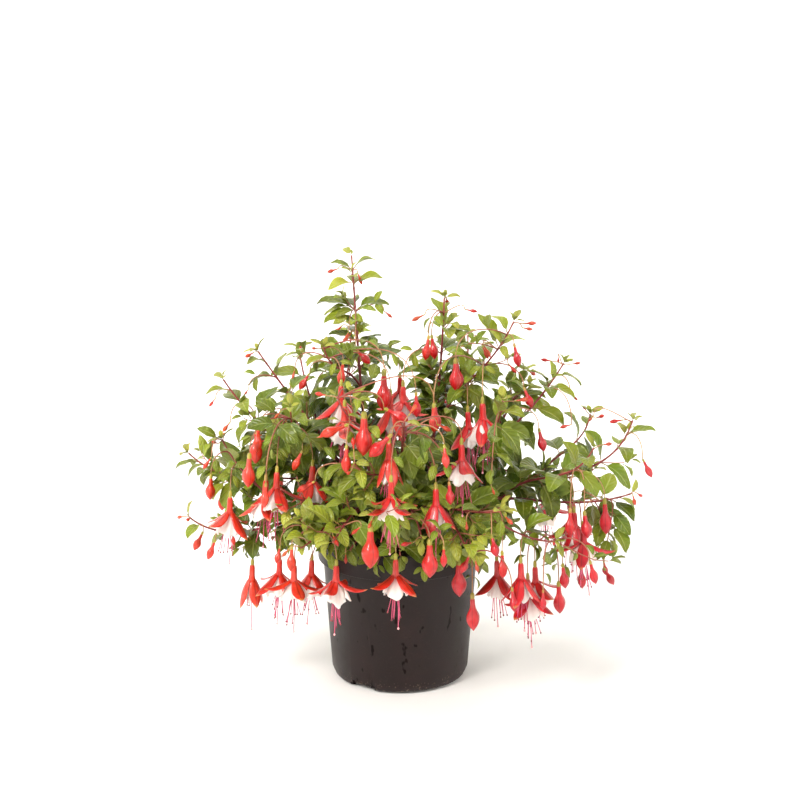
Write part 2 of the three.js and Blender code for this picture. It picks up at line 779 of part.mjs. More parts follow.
// The white part: four broad petals round the stamens, as one thin bell with a notch between petals.
function corolla({ frame, open }) {
  const rim = COROLLA_RADIUS * between([COROLLA_SHUT_SHARE, 1], open);
  const foot = TUBE_END + SEAT_GAP;
  const profile = [
    [COROLLA_FOOT_RADIUS, 0],
    [rim, COROLLA_LENGTH],
    [between([COROLLA_FOOT_RADIUS, rim], COROLLA_SHOULDER), COROLLA_SHOULDER_AT * COROLLA_LENGTH],
    [COROLLA_FOOT_RADIUS, 0],
  ];
  const outline = profile.map(([radius, distance]) => new THREE.Vector2(radius, distance));
  const geometry = new THREE.LatheGeometry(outline, COROLLA_SIDES);
  const position = geometry.getAttribute("position");
  for (let i = 0; i < position.count; i++) {
    const [x, distance, z] = [position.getX(i), position.getY(i), position.getZ(i)];
    const turn = Math.round(Math.atan2(z, x) / RADIANS);
    const notched = turn % 90 === 0 && distance > COROLLA_LENGTH / 2 ? COROLLA_NOTCH : 1;
    const moved = onFlower(frame, foot + distance * notched, Math.hypot(x, z) * notched, turn);
    position.setXYZ(i, moved.x, moved.y, moved.z);
  }
  return solidOf(geometry);
}

// A solid of revolution about Z, from [radius, height] pairs that go up its outside.
function turned(profile, sides) {
  const geometry = new THREE.LatheGeometry(profile.map(([r, z]) => new THREE.Vector2(r, z)), sides);
  return solidOf(geometry.rotateX(Math.PI / 2));
}

function pot() {
  const cornerBend = (degrees) => [
    WALL_FOOT_RADIUS - FOOT_CORNER * (1 - Math.cos(degrees * RADIANS)),
    FOOT_CORNER * (1 - Math.sin(degrees * RADIANS)),
  ];
  const insideFoot = WALL_FOOT_RADIUS - WALL;
  const shell = turned(
    [
      [0, 0],
      [CENTRE_PAD_RADIUS, 0],
      [CENTRE_PAD_RADIUS + 1, FLOOR_HEIGHT],
      [FOOT_RING_INNER_RADIUS, FLOOR_HEIGHT],
      [FOOT_RING_INNER_RADIUS + 1, 0],
      cornerBend(90),
      cornerBend(45),
      cornerBend(0),
      [WALL_TOP_RADIUS, COLLAR_FOOT_HEIGHT],
      [COLLAR_RADIUS - 0.5, COLLAR_FOOT_HEIGHT],
      [COLLAR_RADIUS, POT_HEIGHT - RIM_DEPTH],
      [RIM_RADIUS, POT_HEIGHT - RIM_DEPTH],
      [RIM_RADIUS, POT_HEIGHT],
      [COLLAR_RADIUS - WALL, POT_HEIGHT],
      [COLLAR_RADIUS - WALL, COLLAR_FOOT_HEIGHT + WALL],
      [WALL_TOP_RADIUS - WALL, COLLAR_FOOT_HEIGHT + WALL],
      [insideFoot, FLOOR_HEIGHT + 7],
      [insideFoot - 6, FLOOR_HEIGHT + WALL],
      [0, FLOOR_HEIGHT + WALL],
    ],
    POT_SIDES,
  );
  return drainage().reduce((rest, gap) => rest.subtract(gap), shell);
}

// What is cut from the pot's foot: notches through the ring it stands on, and holes in its floor.
function drainage() {
  const gaps = [];
  for (let i = 0; i < NOTCH_COUNT; i++) {
    const turn = (-90 - FIRST_NOTCH_TURN + (360 / NOTCH_COUNT) * i) * RADIANS;
    const notch = new THREE.BoxGeometry(WALL_FOOT_RADIUS, NOTCH_WIDTH, 2 * FLOOR_HEIGHT);
    notch.translate(FOOT_RING_INNER_RADIUS - 2 + WALL_FOOT_RADIUS / 2, 0, 0);
    const arch = new THREE.BoxGeometry(WALL_FOOT_RADIUS, NOTCH_WIDTH - 2 * NOTCH_EDGE, 2 * NOTCH_HEIGHT);
    arch.translate(WALL_FOOT_RADIUS - 4.5 + WALL_FOOT_RADIUS / 2, 0, 0);
    const across = [DRAIN_HOLE_RADIUS, DRAIN_HOLE_RADIUS];
    const hole = new THREE.CylinderGeometry(...across, 4 * FLOOR_HEIGHT, DRAIN_HOLE_SIDES);
    hole.rotateX(Math.PI / 2).translate(DRAIN_HOLE_AT, 0, FLOOR_HEIGHT);
    for (const gap of [notch, arch, hole]) gaps.push(solidOf(gap.rotateZ(turn)));
  }
  return gaps;
}

// Potting soil that fills the pot to just below its rim, with a plain hole for each cutting.
function soil() {
  const footHeight = FLOOR_HEIGHT + WALL + SEAT_GAP;
  const foot = WALL_FOOT_RADIUS - WALL - 2 * SEAT_GAP;
  const neck = WALL_TOP_RADIUS - WALL - 2 * SEAT_GAP;
  const collar = COLLAR_RADIUS - WALL - SEAT_GAP;
  const ledge = COLLAR_FOOT_HEIGHT + WALL + SEAT_GAP;
  const body = turned(
    [
      [0, footHeight],
      [foot - 7, footHeight],
      [foot, footHeight + 7],
      [neck, ledge],
      [collar, ledge],
      [collar, SOIL_TOP - 2],
      [0.5 * collar, SOIL_TOP + SOIL_DOME],
      [0, SOIL_TOP + SOIL_DOME],
    ],
    SOIL_SIDES,
  );
  const holes = CUTTINGS.map(({ place: [x, y] }) => {
    const bottom = new THREE.Vector3(x, y, SOIL_TOP - ROOT_DEPTH - SEAT_GAP);
    const mouth = new THREE.Vector3(x, y, SOIL_TOP + SOIL_DOME + 1);
    return bar([bottom, mouth], [WOODY_RADIUS + SEAT_GAP, WOODY_RADIUS + SEAT_GAP], SHOOT_SIDES);
  });
  return holes.reduce((rest, hole) => rest.subtract(hole), body);
}

const MATERIALS = {
  pot: new THREE.MeshStandardMaterial({ color: "#2b2625", roughness: 0.55, metalness: 0 }),
  soil: new THREE.MeshStandardMaterial({ color: "#2a1e16", roughness: 1, metalness: 0 }),
  leafy: new THREE.MeshStandardMaterial({ color: "#5b8a36", roughness: 0.5, metalness: 0 }),
  calyx: new THREE.MeshStandardMaterial({ color: "#d3262c", roughness: 0.45, metalness: 0 }),
  corolla: new THREE.MeshStandardMaterial({ color: "#f6ece4", roughness: 0.6, metalness: 0 }),
};

function mesh(name, solid, material) {
  const made = new THREE.Mesh(geometryOf(solid), material);
  made.name = name;
  return made;
}

const shoots = layOutShoots();
shoots.forEach(({ curve, length }) => {
  take(curve.getSpacedPoints(Math.round(length / STEM_STEP)), STEM_ROOM);
});
const flowers = layOutFlowers(shoots);
layOutBuds(shoots);
layOutLeaves(shoots);

const fuchsia = new THREE.Group();
fuchsia.add(mesh("pot", pot(), MATERIALS.pot));
fuchsia.add(mesh("soil", soil(), MATERIALS.soil));
CUTTINGS.forEach(({ place }, i) => {
  const own = shoots.filter((shoot) => shoot.cutting === i);
  fuchsia.add(mesh(`leafy_cutting_${i + 1}`, leafyCutting(place, own), MATERIALS.leafy));
});
flowers.forEach((flower, i) => {
  const number = String(i + 1).padStart(2, "0");
  fuchsia.add(mesh(`flower_${number}_calyx`, calyx(flower), MATERIALS.calyx));
  fuchsia.add(mesh(`flower_${number}_corolla`, corolla(flower), MATERIALS.corolla));
});

export default fuchsia;
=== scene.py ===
# %% [markdown]
# # A fuchsia in flower, in its nursery pot
#
# A nursery roots three cuttings in one black plastic pot. Their shoots fork, arch over the rim and carry
# leaves in opposite pairs, and red and white flowers hang from the leaf joints.
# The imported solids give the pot, the soil, three leafy cuttings and 26 of the 32 open flowers as plain
# blades and bars. This lesson lays the same plant out again by the same rule, and grows fine pieces in
# their place, with more small leaves and buds than solids could hold.

import math
from types import SimpleNamespace

import bmesh
import bpy
import numpy as np
from mathutils import Matrix, Vector, noise


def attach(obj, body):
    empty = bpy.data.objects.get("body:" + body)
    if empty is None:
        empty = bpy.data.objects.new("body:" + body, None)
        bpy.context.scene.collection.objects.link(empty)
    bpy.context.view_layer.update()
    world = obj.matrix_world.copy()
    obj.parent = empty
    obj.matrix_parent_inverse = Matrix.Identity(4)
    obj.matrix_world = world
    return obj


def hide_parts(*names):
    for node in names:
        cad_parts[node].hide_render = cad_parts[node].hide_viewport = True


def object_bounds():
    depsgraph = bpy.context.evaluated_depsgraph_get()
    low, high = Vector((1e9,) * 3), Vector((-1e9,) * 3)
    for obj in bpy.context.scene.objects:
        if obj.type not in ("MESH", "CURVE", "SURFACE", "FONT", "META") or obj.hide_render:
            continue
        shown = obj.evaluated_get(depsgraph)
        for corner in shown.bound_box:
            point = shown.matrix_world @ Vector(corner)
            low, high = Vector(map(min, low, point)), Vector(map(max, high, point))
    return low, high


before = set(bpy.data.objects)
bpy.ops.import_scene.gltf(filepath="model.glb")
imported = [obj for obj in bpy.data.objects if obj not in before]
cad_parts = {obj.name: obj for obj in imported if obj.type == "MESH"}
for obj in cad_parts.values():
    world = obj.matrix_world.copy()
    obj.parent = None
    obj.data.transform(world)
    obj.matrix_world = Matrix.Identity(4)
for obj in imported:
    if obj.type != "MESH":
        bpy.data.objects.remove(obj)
SOLID_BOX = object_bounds()
MM = 0.001
print("solids:", len(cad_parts), "box in m:", [tuple(round(x, 3) for x in c) for c in SOLID_BOX])

# %% [markdown]
# The plan of the plant is a short list of shoots, in millimetres. A shoot leaves its woody base at a
# height above the soil and goes to its tip. It starts at an angle above the horizon and ends at another.
# Each fork leaves it at a share of its length. The flowers and the larger buds are listed one by one,
# where the photograph shows them, and round the back where a bush has them too.

# %% The plan
def fork(at, tip, rise, ends):
    return SimpleNamespace(at=at, tip=tip, rise=rise, ends=ends)


def shoot(height, tip, rise, ends, *forks):
    return SimpleNamespace(height=height, tip=tip, rise=rise, ends=ends, forks=forks)


# Each cutting's place on the soil, and its shoots
CUTTINGS = [
    ((-25, 10), [
        shoot(20, (-48, 15, 430), 82, 86, fork(0.5, (-74, -38, 348), 60, 72)),
        shoot(18, (-144, 32, 330), 60, 55, fork(0.5, (-105, 78, 324), 60, 70)),
        shoot(14, (-173, -30, 314), 50, 58,
              fork(0.5, (-104, -86, 298), 60, 65),
              fork(0.16, (-216, 22, 226), 40, 45)),
        shoot(8, (-206, -64, 184), 46, 44, fork(0.45, (-178, -8, 248), 45, 65)),
        shoot(16, (-122, 164, 258), 60, 40,
              fork(0.45, (-52, 128, 338), 68, 75),
              fork(0.25, (-188, 108, 196), 40, 25)),
    ]),
    ((0, -26), [
        shoot(20, (4, -158, 302), 76, 34,
              fork(0.5, (-58, -124, 318), 60, 70),
              fork(0.25, (-42, -152, 262), 45, 40)),
        shoot(10, (-112, -118, 228), 56, 40,
              fork(0.4, (-92, -150, 180), 30, 0),
              fork(0.3, (-62, -158, 188), 40, -10)),
        shoot(14, (20, -158, 192), 68, -20, fork(0.4, (-22, -172, 218), 50, 20)),
        shoot(12, (92, -158, 218), 60, 20,
              fork(0.3, (145, -130, 180), 42, 10),
              fork(0.4, (66, -158, 176), 30, -15)),
    ]),
    ((25, 10), [
        shoot(8, (224, -72, 210), 52, 25, fork(0.42, (182, -106, 264), 50, 62)),
        shoot(14, (232, -10, 268), 50, 75, fork(0.5, (195, 34, 264), 50, 78)),
        shoot(18, (165, 20, 320), 56, 60,
              fork(0.45, (128, 66, 302), 55, 70),
              fork(0.4, (98, -72, 302), 60, 70)),
        shoot(20, (44, 10, 388), 84, 88, fork(0.42, (111, -22, 370), 62, 66)),
        shoot(12, (24, 204, 236), 60, 30, fork(0.3, (-52, 208, 190), 45, 10)),
        shoot(16, (140, 146, 246), 56, 38,
              fork(0.45, (72, 112, 332), 66, 75),
              fork(0.22, (206, 84, 192), 40, 25)),
    ]),
]
# Each open flower: the top of its ovary, how far it is open, and its turn in degrees
FLOWERS = [
    ((-146, -50, 137), 0.1, 30), ((-101, -102, 154), 0.9, 20), ((-87, -50, 142), 0.8, 50),
    ((-60, -124, 161), 1, 75), ((-4, -130, 169), 0.9, 10), ((-8, -170, 256), 0.9, 40),
    ((-164, -72, 213), 0.9, 55), ((-128, -86, 234), 0.8, 15), ((-84, -74, 245), 0.7, 70),
    ((-56, -66, 322), 0.7, 35), ((-52, -92, 308), 0.8, 5), ((3, -50, 318), 0.9, 60),
    ((-10, -138, 284), 0.3, 20), ((78, -84, 309), 0.9, 80), ((66, -38, 290), 0.7, 45),
    ((57, -124, 279), 0.9, 10), ((33, -144, 242), 0.3, 65), ((169, -36, 192), 0.8, 30),
    ((175, -96, 190), 0.9, 75), ((121, -120, 146), 0.9, 55), ((94, -76, 150), 0.7, 35),
    ((-130, 132, 176), 1, 15), ((-30, 176, 176), 0.8, 65), ((62, 164, 190), 1, 40),
    ((156, 108, 168), 0.9, 75), ((0, 132, 288), 0.7, 25),
]
# Each large bud: the top of its ovary, and its length
BUDS = [
    ((-55, -40, 335), 25), ((-90, 0, 314), 20), ((-15, -90, 337), 40), ((-139, -50, 270), 36),
    ((-143, -92, 256), 34), ((-33, -136, 307), 42), ((-49, -142, 277), 27), ((-189, -16, 214), 27),
    ((31, -10, 355), 25), ((55, -30, 335), 31), ((111, -30, 350), 24), ((122, -20, 304), 22),
    ((135, -50, 270), 24), ((237, -50, 239), 21), ((31, -120, 311), 28), ((15, -95, 316), 24),
    ((40, -158, 281), 22), ((-193, -60, 168), 21), ((-181, -60, 160), 22), ((-102, -122, 174), 26),
    ((-27, -162, 207), 42), ((27, -168, 195), 37), ((55, -130, 163), 37), ((69, -114, 124), 38),
    ((84, -160, 196), 21), ((95, -142, 175), 27), ((104, -150, 142), 24), ((155, -110, 152), 25),
    ((153, -95, 129), 33), ((176, -80, 142), 26), ((199, -66, 204), 37), ((201, -58, 130), 20),
    ((-150, 118, 232), 30), ((-92, 150, 262), 24), ((4, 184, 226), 36), ((48, 150, 262), 26),
    ((122, 150, 212), 34), ((182, 84, 170), 30), ((-190, 96, 170), 28),
]
print("cuttings:", len(CUTTINGS), "flowers:", len(FLOWERS), "large buds:", len(BUDS))

# %% [markdown]
# A shoot is one Bezier curve. Growth is measured along it, so the curve is read by the share of its
# length and not by its own parameter, in which equal steps aren't equal lengths.

# %% Curves
SOIL_TOP = 138
SOIL_DOME = 3
CURVE_REACH = 0.4
CURVE_STEPS = 200
UP = np.array([0.0, 0.0, 1.0])


def unit(v):
    return v / (np.linalg.norm(v) or 1)


def between(ends, share):
    return ends[0] + (ends[1] - ends[0]) * share


class Curve:
    """A cubic Bezier curve that is read by the share of its length."""

    def __init__(self, start, first_handle, last_handle, end):
        self.corners = np.array([start, first_handle, last_handle, end], float)
        self.shares = np.linspace(0, 1, CURVE_STEPS + 1)
        steps = np.linalg.norm(np.diff(self.spot(self.shares), axis=0), axis=1)
        self.reached = np.concatenate([[0], np.cumsum(steps)])
        self.length = self.reached[-1]

    def spot(self, t):
        t = np.asarray(t, float)[..., None]
        a, b, c, d = self.corners
        return (1 - t) ** 3 * a + 3 * (1 - t) ** 2 * t * b + 3 * (1 - t) * t**2 * c + t**3 * d

    def inner(self, share):
        return np.interp(np.asarray(share) * self.length, self.reached, self.shares)

    def at(self, share):
        return self.spot(self.inner(share))

    def along(self, share):
        t = self.inner(share)
        return unit(self.spot(min(t + 1e-4, 1)) - self.spot(max(t - 1e-4, 0)))


def shoot_curve(start, plan):
    end = np.array(plan.tip, float)
    reach = np.linalg.norm(end - start) * CURVE_REACH
    outward = unit((end - start) * (1, 1, 0))

    def heading(degrees):
        return outward * math.cos(math.radians(degrees)) + UP * math.sin(math.radians(degrees))

    return Curve(start, start + heading(plan.rise) * reach, end - heading(plan.ends) * reach, end)


# %% [markdown]
# Leaves stand in pairs at joints. The joints are close together at a growing tip and further apart lower
# down, where the stem has had time to stretch, so they are counted by their rank from the tip.

# %% Shoots and their joints
JOINTS_FROM_TIP = (2, 15, 33, 56, 84, 115, 148, 182)
BARE_SHARE = 0.3
AXIL_REACH = 12


def grow_shoot(cutting, curve, is_fork, bare_length):
    joints = []
    for rank, from_tip in enumerate(JOINTS_FROM_TIP):
        if curve.length - from_tip >= bare_length:
            share = 1 - from_tip / curve.length
            joints.insert(0, SimpleNamespace(rank=rank, spot=curve.at(share), along=curve.along(share)))
    return SimpleNamespace(cutting=cutting, curve=curve, is_fork=is_fork, joints=joints)


shoots = []
for number, ((x, y), mains) in enumerate(CUTTINGS):
    for main in mains:
        main_curve = shoot_curve(np.array([x, y, SOIL_TOP + SOIL_DOME + main.height], float), main)
        shoots.append(grow_shoot(number, main_curve, False, BARE_SHARE * main_curve.length))
        for side in main.forks:
            fork_curve = shoot_curve(main_curve.at(side.at), side)
            shoots.append(grow_shoot(number, fork_curve, True, AXIL_REACH))
print("shoots:", len(shoots), "joints:", sum(len(s.joints) for s in shoots))

# %% [markdown]
# A leaf or a sepal is a thin blade. It starts at a root, goes out, tips up by one angle and bends down by
# another over its length, and its two halves fold up along the midrib.

# %% How a blade lies
def blade_pose(root, out, face, length, rise, bend, fold):
    upward = unit(face - out * face.dot(out))
    side = np.cross(out, upward)
    return SimpleNamespace(
        root=root, out=out, up=upward, side=side, length=length, rise=rise, bend=bend, fold=fold
    )


def on_blade(pose, along, across, lift):
    """Where points of the flat blade go on the bent one, all in millimetres."""
    along, across, lift = (np.asarray(v, float)[..., None] for v in (along, across, lift))
    start = math.radians(pose.rise)
    curve = math.radians(pose.bend) / pose.length
    angle = start - curve * along
    fold_angle = math.radians(pose.fold)
    ahead = (math.sin(start) - np.sin(angle)) / curve
    above = (np.cos(angle) - math.cos(start)) / curve
    off = np.abs(across) * math.sin(fold_angle) + lift
    return (
        pose.root
        + pose.out * (ahead - np.sin(angle) * off)
        + pose.up * (above + np.cos(angle) * off)
        + pose.side * across * math.cos(fold_angle)
    )


# %% [markdown]
# The solids' parts never grow through each other. Each thing that is laid out takes room, kept as points
# with a radius, and a leaf is only put where its own points are clear of them. The small leaves that are
# added later keep less distance, and some of them do cross inside the bush.

# %% Room in the bush
CLEARANCE = 7
POT_RADIUS = 84
POT_HEIGHT = 150
FAR_OFF = 70
TAKEN_EVERY = 6
taken = np.zeros((0, 4))


def take(spots, room):
    global taken
    spots = np.atleast_2d(spots)
    taken = np.vstack([taken, np.c_[spots, np.full(len(spots), room)]])


def is_clear(spots, root, clearance=CLEARANCE):
    over_pot = np.hypot(spots[:, 0], spots[:, 1]) < POT_RADIUS + clearance
    if (spots[:, 2] < clearance).any() or (over_pot & (spots[:, 2] < POT_HEIGHT + clearance)).any():
        return False
    from_root = np.linalg.norm(taken[:, :3] - root, axis=1)
    others = taken[(from_root >= AXIL_REACH) & (from_root < FAR_OFF)]
    away = np.linalg.norm(spots[:, None] - others[None, :, :3], axis=2)
    return bool((away > clearance + others[:, 3]).all())


for grown in shoots:
    steps = math.floor(grown.curve.length / TAKEN_EVERY + 0.5)
    take(grown.curve.at(np.linspace(0, 1, steps + 1)), 1)

# %% [markdown]
# A flower hangs from the nearest joint above it on a thin stalk that leaves the stem, arches over and
# comes down to the top of the ovary. Its axis hangs nearly straight down.

# %% Flowers and buds on their stalks
SEAT_GAP = 0.35
STALK_REACH = 0.45
STALK_RISE = 0.5
STALK_DROP = 6
TUBE_END = 24
TUBE_RADIUS = 4.4
SEPAL_LENGTH = 32
COROLLA_LENGTH = 22
STYLE_LENGTH = 56
FLOWER_LEAN = 0.06
SEPAL_RISES = (-60, -44)
SEPAL_BENDS = (38, -40)
SEPAL_FOLD = -14
SEPAL_PROBES = np.array([0.35, 0.5, 0.65, 0.8, 1])
BELL_ROOM, TUBE_ROOM, SEPAL_ROOM, BUD_ROOM, STALK_ROOM = 10, 4, 2.5, 3, 0.5
BUD_LENGTHS, BUD_LEANS = (20, 26), (32, 4)


def hang_from_joint(end, drop=STALK_DROP):
    near = [(np.linalg.norm(j.spot - end), s.cutting, j) for s in shoots for j in s.joints]
    _, cutting, joint = min((n for n in near if n[2].spot[2] > end[2] + drop), key=lambda n: n[0])
    reach = np.linalg.norm(joint.spot - end) * STALK_REACH
    out = unit(unit((end - joint.spot) * (1, 1, 0)) + UP * STALK_RISE)
    stalk = Curve(joint.spot, joint.spot + out * reach, end + UP * reach, end)
    take(stalk.spot([0.3, 0.5, 0.7, 0.9]), STALK_ROOM)
    return cutting, stalk


def on_flower(flower, distance, radius, degrees):
    """Points so far down a flower's axis and so far out from it, at an angle round it."""
    distance, radius, degrees = (np.asarray(v, float)[..., None] for v in (distance, radius, degrees))
    turn = np.radians(degrees)
    return (
        flower.top
        + flower.down * distance
        + flower.right * radius * np.cos(turn)
        + flower.back * radius * np.sin(turn)
    )


def sepal_pose(flower, index):
    root = on_flower(flower, TUBE_END - 3, TUBE_RADIUS - 1.4, 90 * index)
    out = on_flower(flower, 0, 1, 90 * index) - flower.top
    rise, bend = between(SEPAL_RISES, flower.open), between(SEPAL_BENDS, flower.open)
    return blade_pose(root, out, -flower.down, SEPAL_LENGTH, rise, bend, SEPAL_FOLD)


def hang_flower(x, y, z, is_open, turn):
    down = unit(unit(np.array([x, y, 0.0])) * FLOWER_LEAN - UP)
    right = np.array([math.cos(math.radians(turn)), math.sin(math.radians(turn)), 0])
    right = unit(right - down * right.dot(down))
    bloom = SimpleNamespace(top=np.array([x, y, z], float), down=down, right=right, open=is_open)
    bloom.back = np.cross(down, right)
    bloom.cutting, bloom.stalk = hang_from_joint(on_flower(bloom, -SEAT_GAP, 0, 0))
    for distance in range(2, TUBE_END + STYLE_LENGTH, 5):
        is_bell = TUBE_END < distance < TUBE_END + COROLLA_LENGTH
        take(on_flower(bloom, distance, 0, 0), BELL_ROOM if is_bell else TUBE_ROOM)
    for index in range(4):
        take(on_blade(sepal_pose(bloom, index), SEPAL_PROBES * SEPAL_LENGTH, 0, 0), SEPAL_ROOM)
    return bloom


def hang_bud(top, down, length, drop=STALK_DROP):
    cutting, stalk = hang_from_joint(top, drop)
    take(top + np.outer([0.1, 0.3, 0.5, 0.7, 0.9], down * length), BUD_ROOM)
    return SimpleNamespace(cutting=cutting, stalk=stalk, top=top, down=down, length=length)


flowers = [hang_flower(*place, is_open, turn) for place, is_open, turn in FLOWERS]
buds = []
for place, length in BUDS:
    top = np.array(place, float)
    lean = math.radians(np.interp(length, BUD_LENGTHS, BUD_LEANS))
    down = unit(top * (1, 1, 0)) * math.sin(lean) - UP * math.cos(lean)
    buds.append(hang_bud(top, down, length))

# %% [markdown]
# The leaves come in opposite pairs, each pair turned square to the last. Every leaf draws its own size
# and bend from a seeded run, so the plant is the same each time. A leaf takes the first clear pose of a
# few, and is left out where there is none.

# %% Leaves in pairs
LEAVES_FROM_TIP = (15, 23, 29, 33, 36, 37, 37, 35)
LEAF_WIDTH_SHARE = 0.29
PETIOLE_SHARE = 0.2
LEAF_FOLD = 17
LEAF_SPREAD = 66
TIP_LEAF_SPREAD = 48
LEAF_DROOP = 0.12
LEAF_TOWARDS_TIP = 0.45
PAIR_TURN = 90
PROBES = [(0.4, 0.75), (0.55, 0.8), (0.7, 0.7), (0.85, 0.4)]
PROBE_ALONG = np.array([share for share, _ in PROBES for _ in range(3)] + [1.0])
PROBE_ACROSS = np.array([side * wide for _, wide in PROBES for side in (-1, 0, 1)] + [0.0])


def seeded(seed):
    """A repeatable run of draws from 0 to 1."""
    state = seed * 7919 + 101

    def draw():
        nonlocal state
        state = state * 48271 % 2147483647
        return state / 2147483647

    draw()
    return draw


def from_joint(along, turn, spread):
    """A direction at an angle about the stem and another off its line."""
    level = np.cross(along, UP)
    if np.linalg.norm(level) < 0.15:
        level = np.array([1.0, 0, 0])
    level = unit(level - along * level.dot(along))
    turn, spread = math.radians(turn), math.radians(spread)
    off = level * math.cos(turn) + np.cross(level, along) * math.sin(turn)
    return along * math.cos(spread) + off * math.sin(spread)


def leaf_pose(spot, stem_along, turn, spread, size, rise, bend, roll):
    out = unit(from_joint(stem_along, turn, spread) - UP * LEAF_DROOP)
    face = UP + stem_along * LEAF_TOWARDS_TIP
    face = face + unit(np.cross(out, face)) * math.sin(math.radians(roll))
    return blade_pose(spot, out, face, size / (1 - PETIOLE_SHARE), rise, bend, LEAF_FOLD)


def leaf_probes(pose):
    half_width = LEAF_WIDTH_SHARE * pose.length
    return on_blade(pose, PROBE_ALONG * pose.length, PROBE_ACROSS * half_width, 0)


leaves = []
for index, grown in enumerate(shoots):
    draw = seeded(700 + index)
    first_turn = 90 * math.floor(2 * draw()) + 20 * (draw() - 0.5)
    for joint in grown.joints:
        joint.turn = first_turn + PAIR_TURN * joint.rank
        for half in (0, 180):
            turn = joint.turn + half + 24 * (draw() - 0.5)
            size = LEAVES_FROM_TIP[joint.rank] * between((0.92, 1.08), draw())
            rise, bend, roll = (between(ends, draw()) for ends in ((16, 34), (44, 78), (-15, 15)))
            spread = TIP_LEAF_SPREAD if joint.rank < 2 else LEAF_SPREAD
            if joint.rank == 0:
                continue
            for scale, extra in ((s, e) for s in (1, 0.85) for e in (0, 28, -28, 56, -56)):
                shape = spread, size * scale, rise, bend, roll
                pose = leaf_pose(joint.spot, joint.along, turn + extra, *shape)
                if is_clear(leaf_probes(pose), joint.spot):
                    take(leaf_probes(pose), 0)
                    age = between((0.75, 0.15), min(1, joint.rank / 4))
                    leaves.append(SimpleNamespace(cutting=grown.cutting, pose=pose, age=age))
                    break
print("leaves as in the solids:", len(leaves))

# %% [markdown]
# The photograph's clusters hold more than the solids have nodes for. A few flowers hang half hidden
# behind or beside others, and many buds are small. A leaf that one of them pushes aside is left out.

# %% Flowers and buds beside the others
MORE_FLOWERS = [
    ((-116, -104, 247), 0.7, 25), ((-118, -60, 146), 0.8, 40), ((130, -92, 149), 0.9, 30),
    ((113, -134, 167), 0.6, 70), ((170, -60, 194), 0.5, 20), ((-9, -84, 317), 0.3, 50),
]
# Each bud: the top of its ovary, its length, and its lean to the right in degrees
MORE_BUDS = [
    ((-104, -10, 320), 10, -15), ((-152, 10, 296), 8, -35), ((-182, -20, 293), 11, -38),
    ((-168, -20, 269), 13, -38), ((-184, -50, 241), 15, -35), ((-92, -100, 261), 22, -25),
    ((-7, -150, 289), 30, -45), ((32, -104, 308), 27, 5), ((34, -130, 293), 15, 65),
    ((160, 30, 326), 8, 5), ((193, -10, 273), 8, -40), ((168, -40, 271), 12, -75),
    ((106, -20, 328), 13, 42), ((81, -10, 344), 15, 25), ((-50, -20, 360), 10, -25),
    ((65, -150, 174), 20, -25), ((40, -168, 188), 20, 0), ((-115, -96, 165), 18, -12),
    ((-63, -136, 189), 13, 25), ((-52, -100, 159), 11, 0), ((161, -110, 207), 28, 0),
    ((175, -104, 202), 27, 8), ((-36, -140, 198), 12, -50), ((61, -150, 207), 10, 5),
    ((179, -125, 160), 24, 15), ((28, -30, 358), 25, -8), ((53, -60, 341), 31, 0),
    ((-43, -40, 346), 20, 45), ((-15, -116, 305), 26, 62), ((-136, -70, 277), 26, -3),
    ((-162, -80, 175), 15, 4), ((45, -150, 244), 22, 4), ((85, -130, 234), 9, 20),
    ((-47, -116, 290), 30, -68), ((81, -30, 349), 15, 30), ((-80, -110, 233), 20, -60),
    ((203, -40, 132), 16, 10), ((-125, -125, 236), 24, -4), ((134, -142, 137), 20, 0),
    ((-61, 13, 417), 12, -72), ((-42, 8, 414), 13, 20), ((-16, 6, 376), 11, 50),
    ((-47, 0, 356), 15, -43), ((25, 2, 373), 15, -65), ((64, 2, 378), 13, 80),
    ((119, -22, 364), 11, 80), ((172, 16, 289), 10, 50),
]
PUSHED_ASIDE = 2
SMALL_BUD = 16
UNDER_JOINT = -12
before = len(taken)
more_flowers = [hang_flower(*place, is_open, turn) for place, is_open, turn in MORE_FLOWERS]
for place, length, lean in MORE_BUDS:
    down = unit(np.array([math.tan(math.radians(lean)), -0.08, -1.0]))
    drop = UNDER_JOINT if length < SMALL_BUD else STALK_DROP
    buds.append(hang_bud(np.array(place, float), down, length, drop))
added = taken[before:]


def is_pushed_aside(grown_leaf):
    away = np.linalg.norm(leaf_probes(grown_leaf.pose)[:, None] - added[None, :, :3], axis=2)
    return (away < PUSHED_ASIDE + added[:, 3]).any()


leaves = [grown_leaf for grown_leaf in leaves if not is_pushed_aside(grown_leaf)]
print("flowers beside the others:", len(more_flowers), "buds:", len(buds), "leaves left:", len(leaves))

# %% [markdown]
# A bush has far more leaves than the solids show. The small ones fill the gaps: the folded pair and the
# rosette at each growing tip, and short side sprigs out of the leaf axils. Older leaves hang round the
# bare lower stems, and some hang over the rim. They may come closer to each other than the large ones.

# %% The small leaves between
CLOSE = 2.2
PAST_SOLIDS = 8
LOW_CORNER, HIGH_CORNER = (np.array(corner) / MM for corner in SOLID_BOX)
TWIG_ROOM = 0.6
HIGH_UP, FAR_RIGHT, FAR_LEFT = 325, 90, -110
chance = np.random.default_rng(5)
sprigs = []


def is_in_box(spots):
    return bool(((spots > LOW_CORNER - PAST_SOLIDS) & (spots < HIGH_CORNER + PAST_SOLIDS)).all())


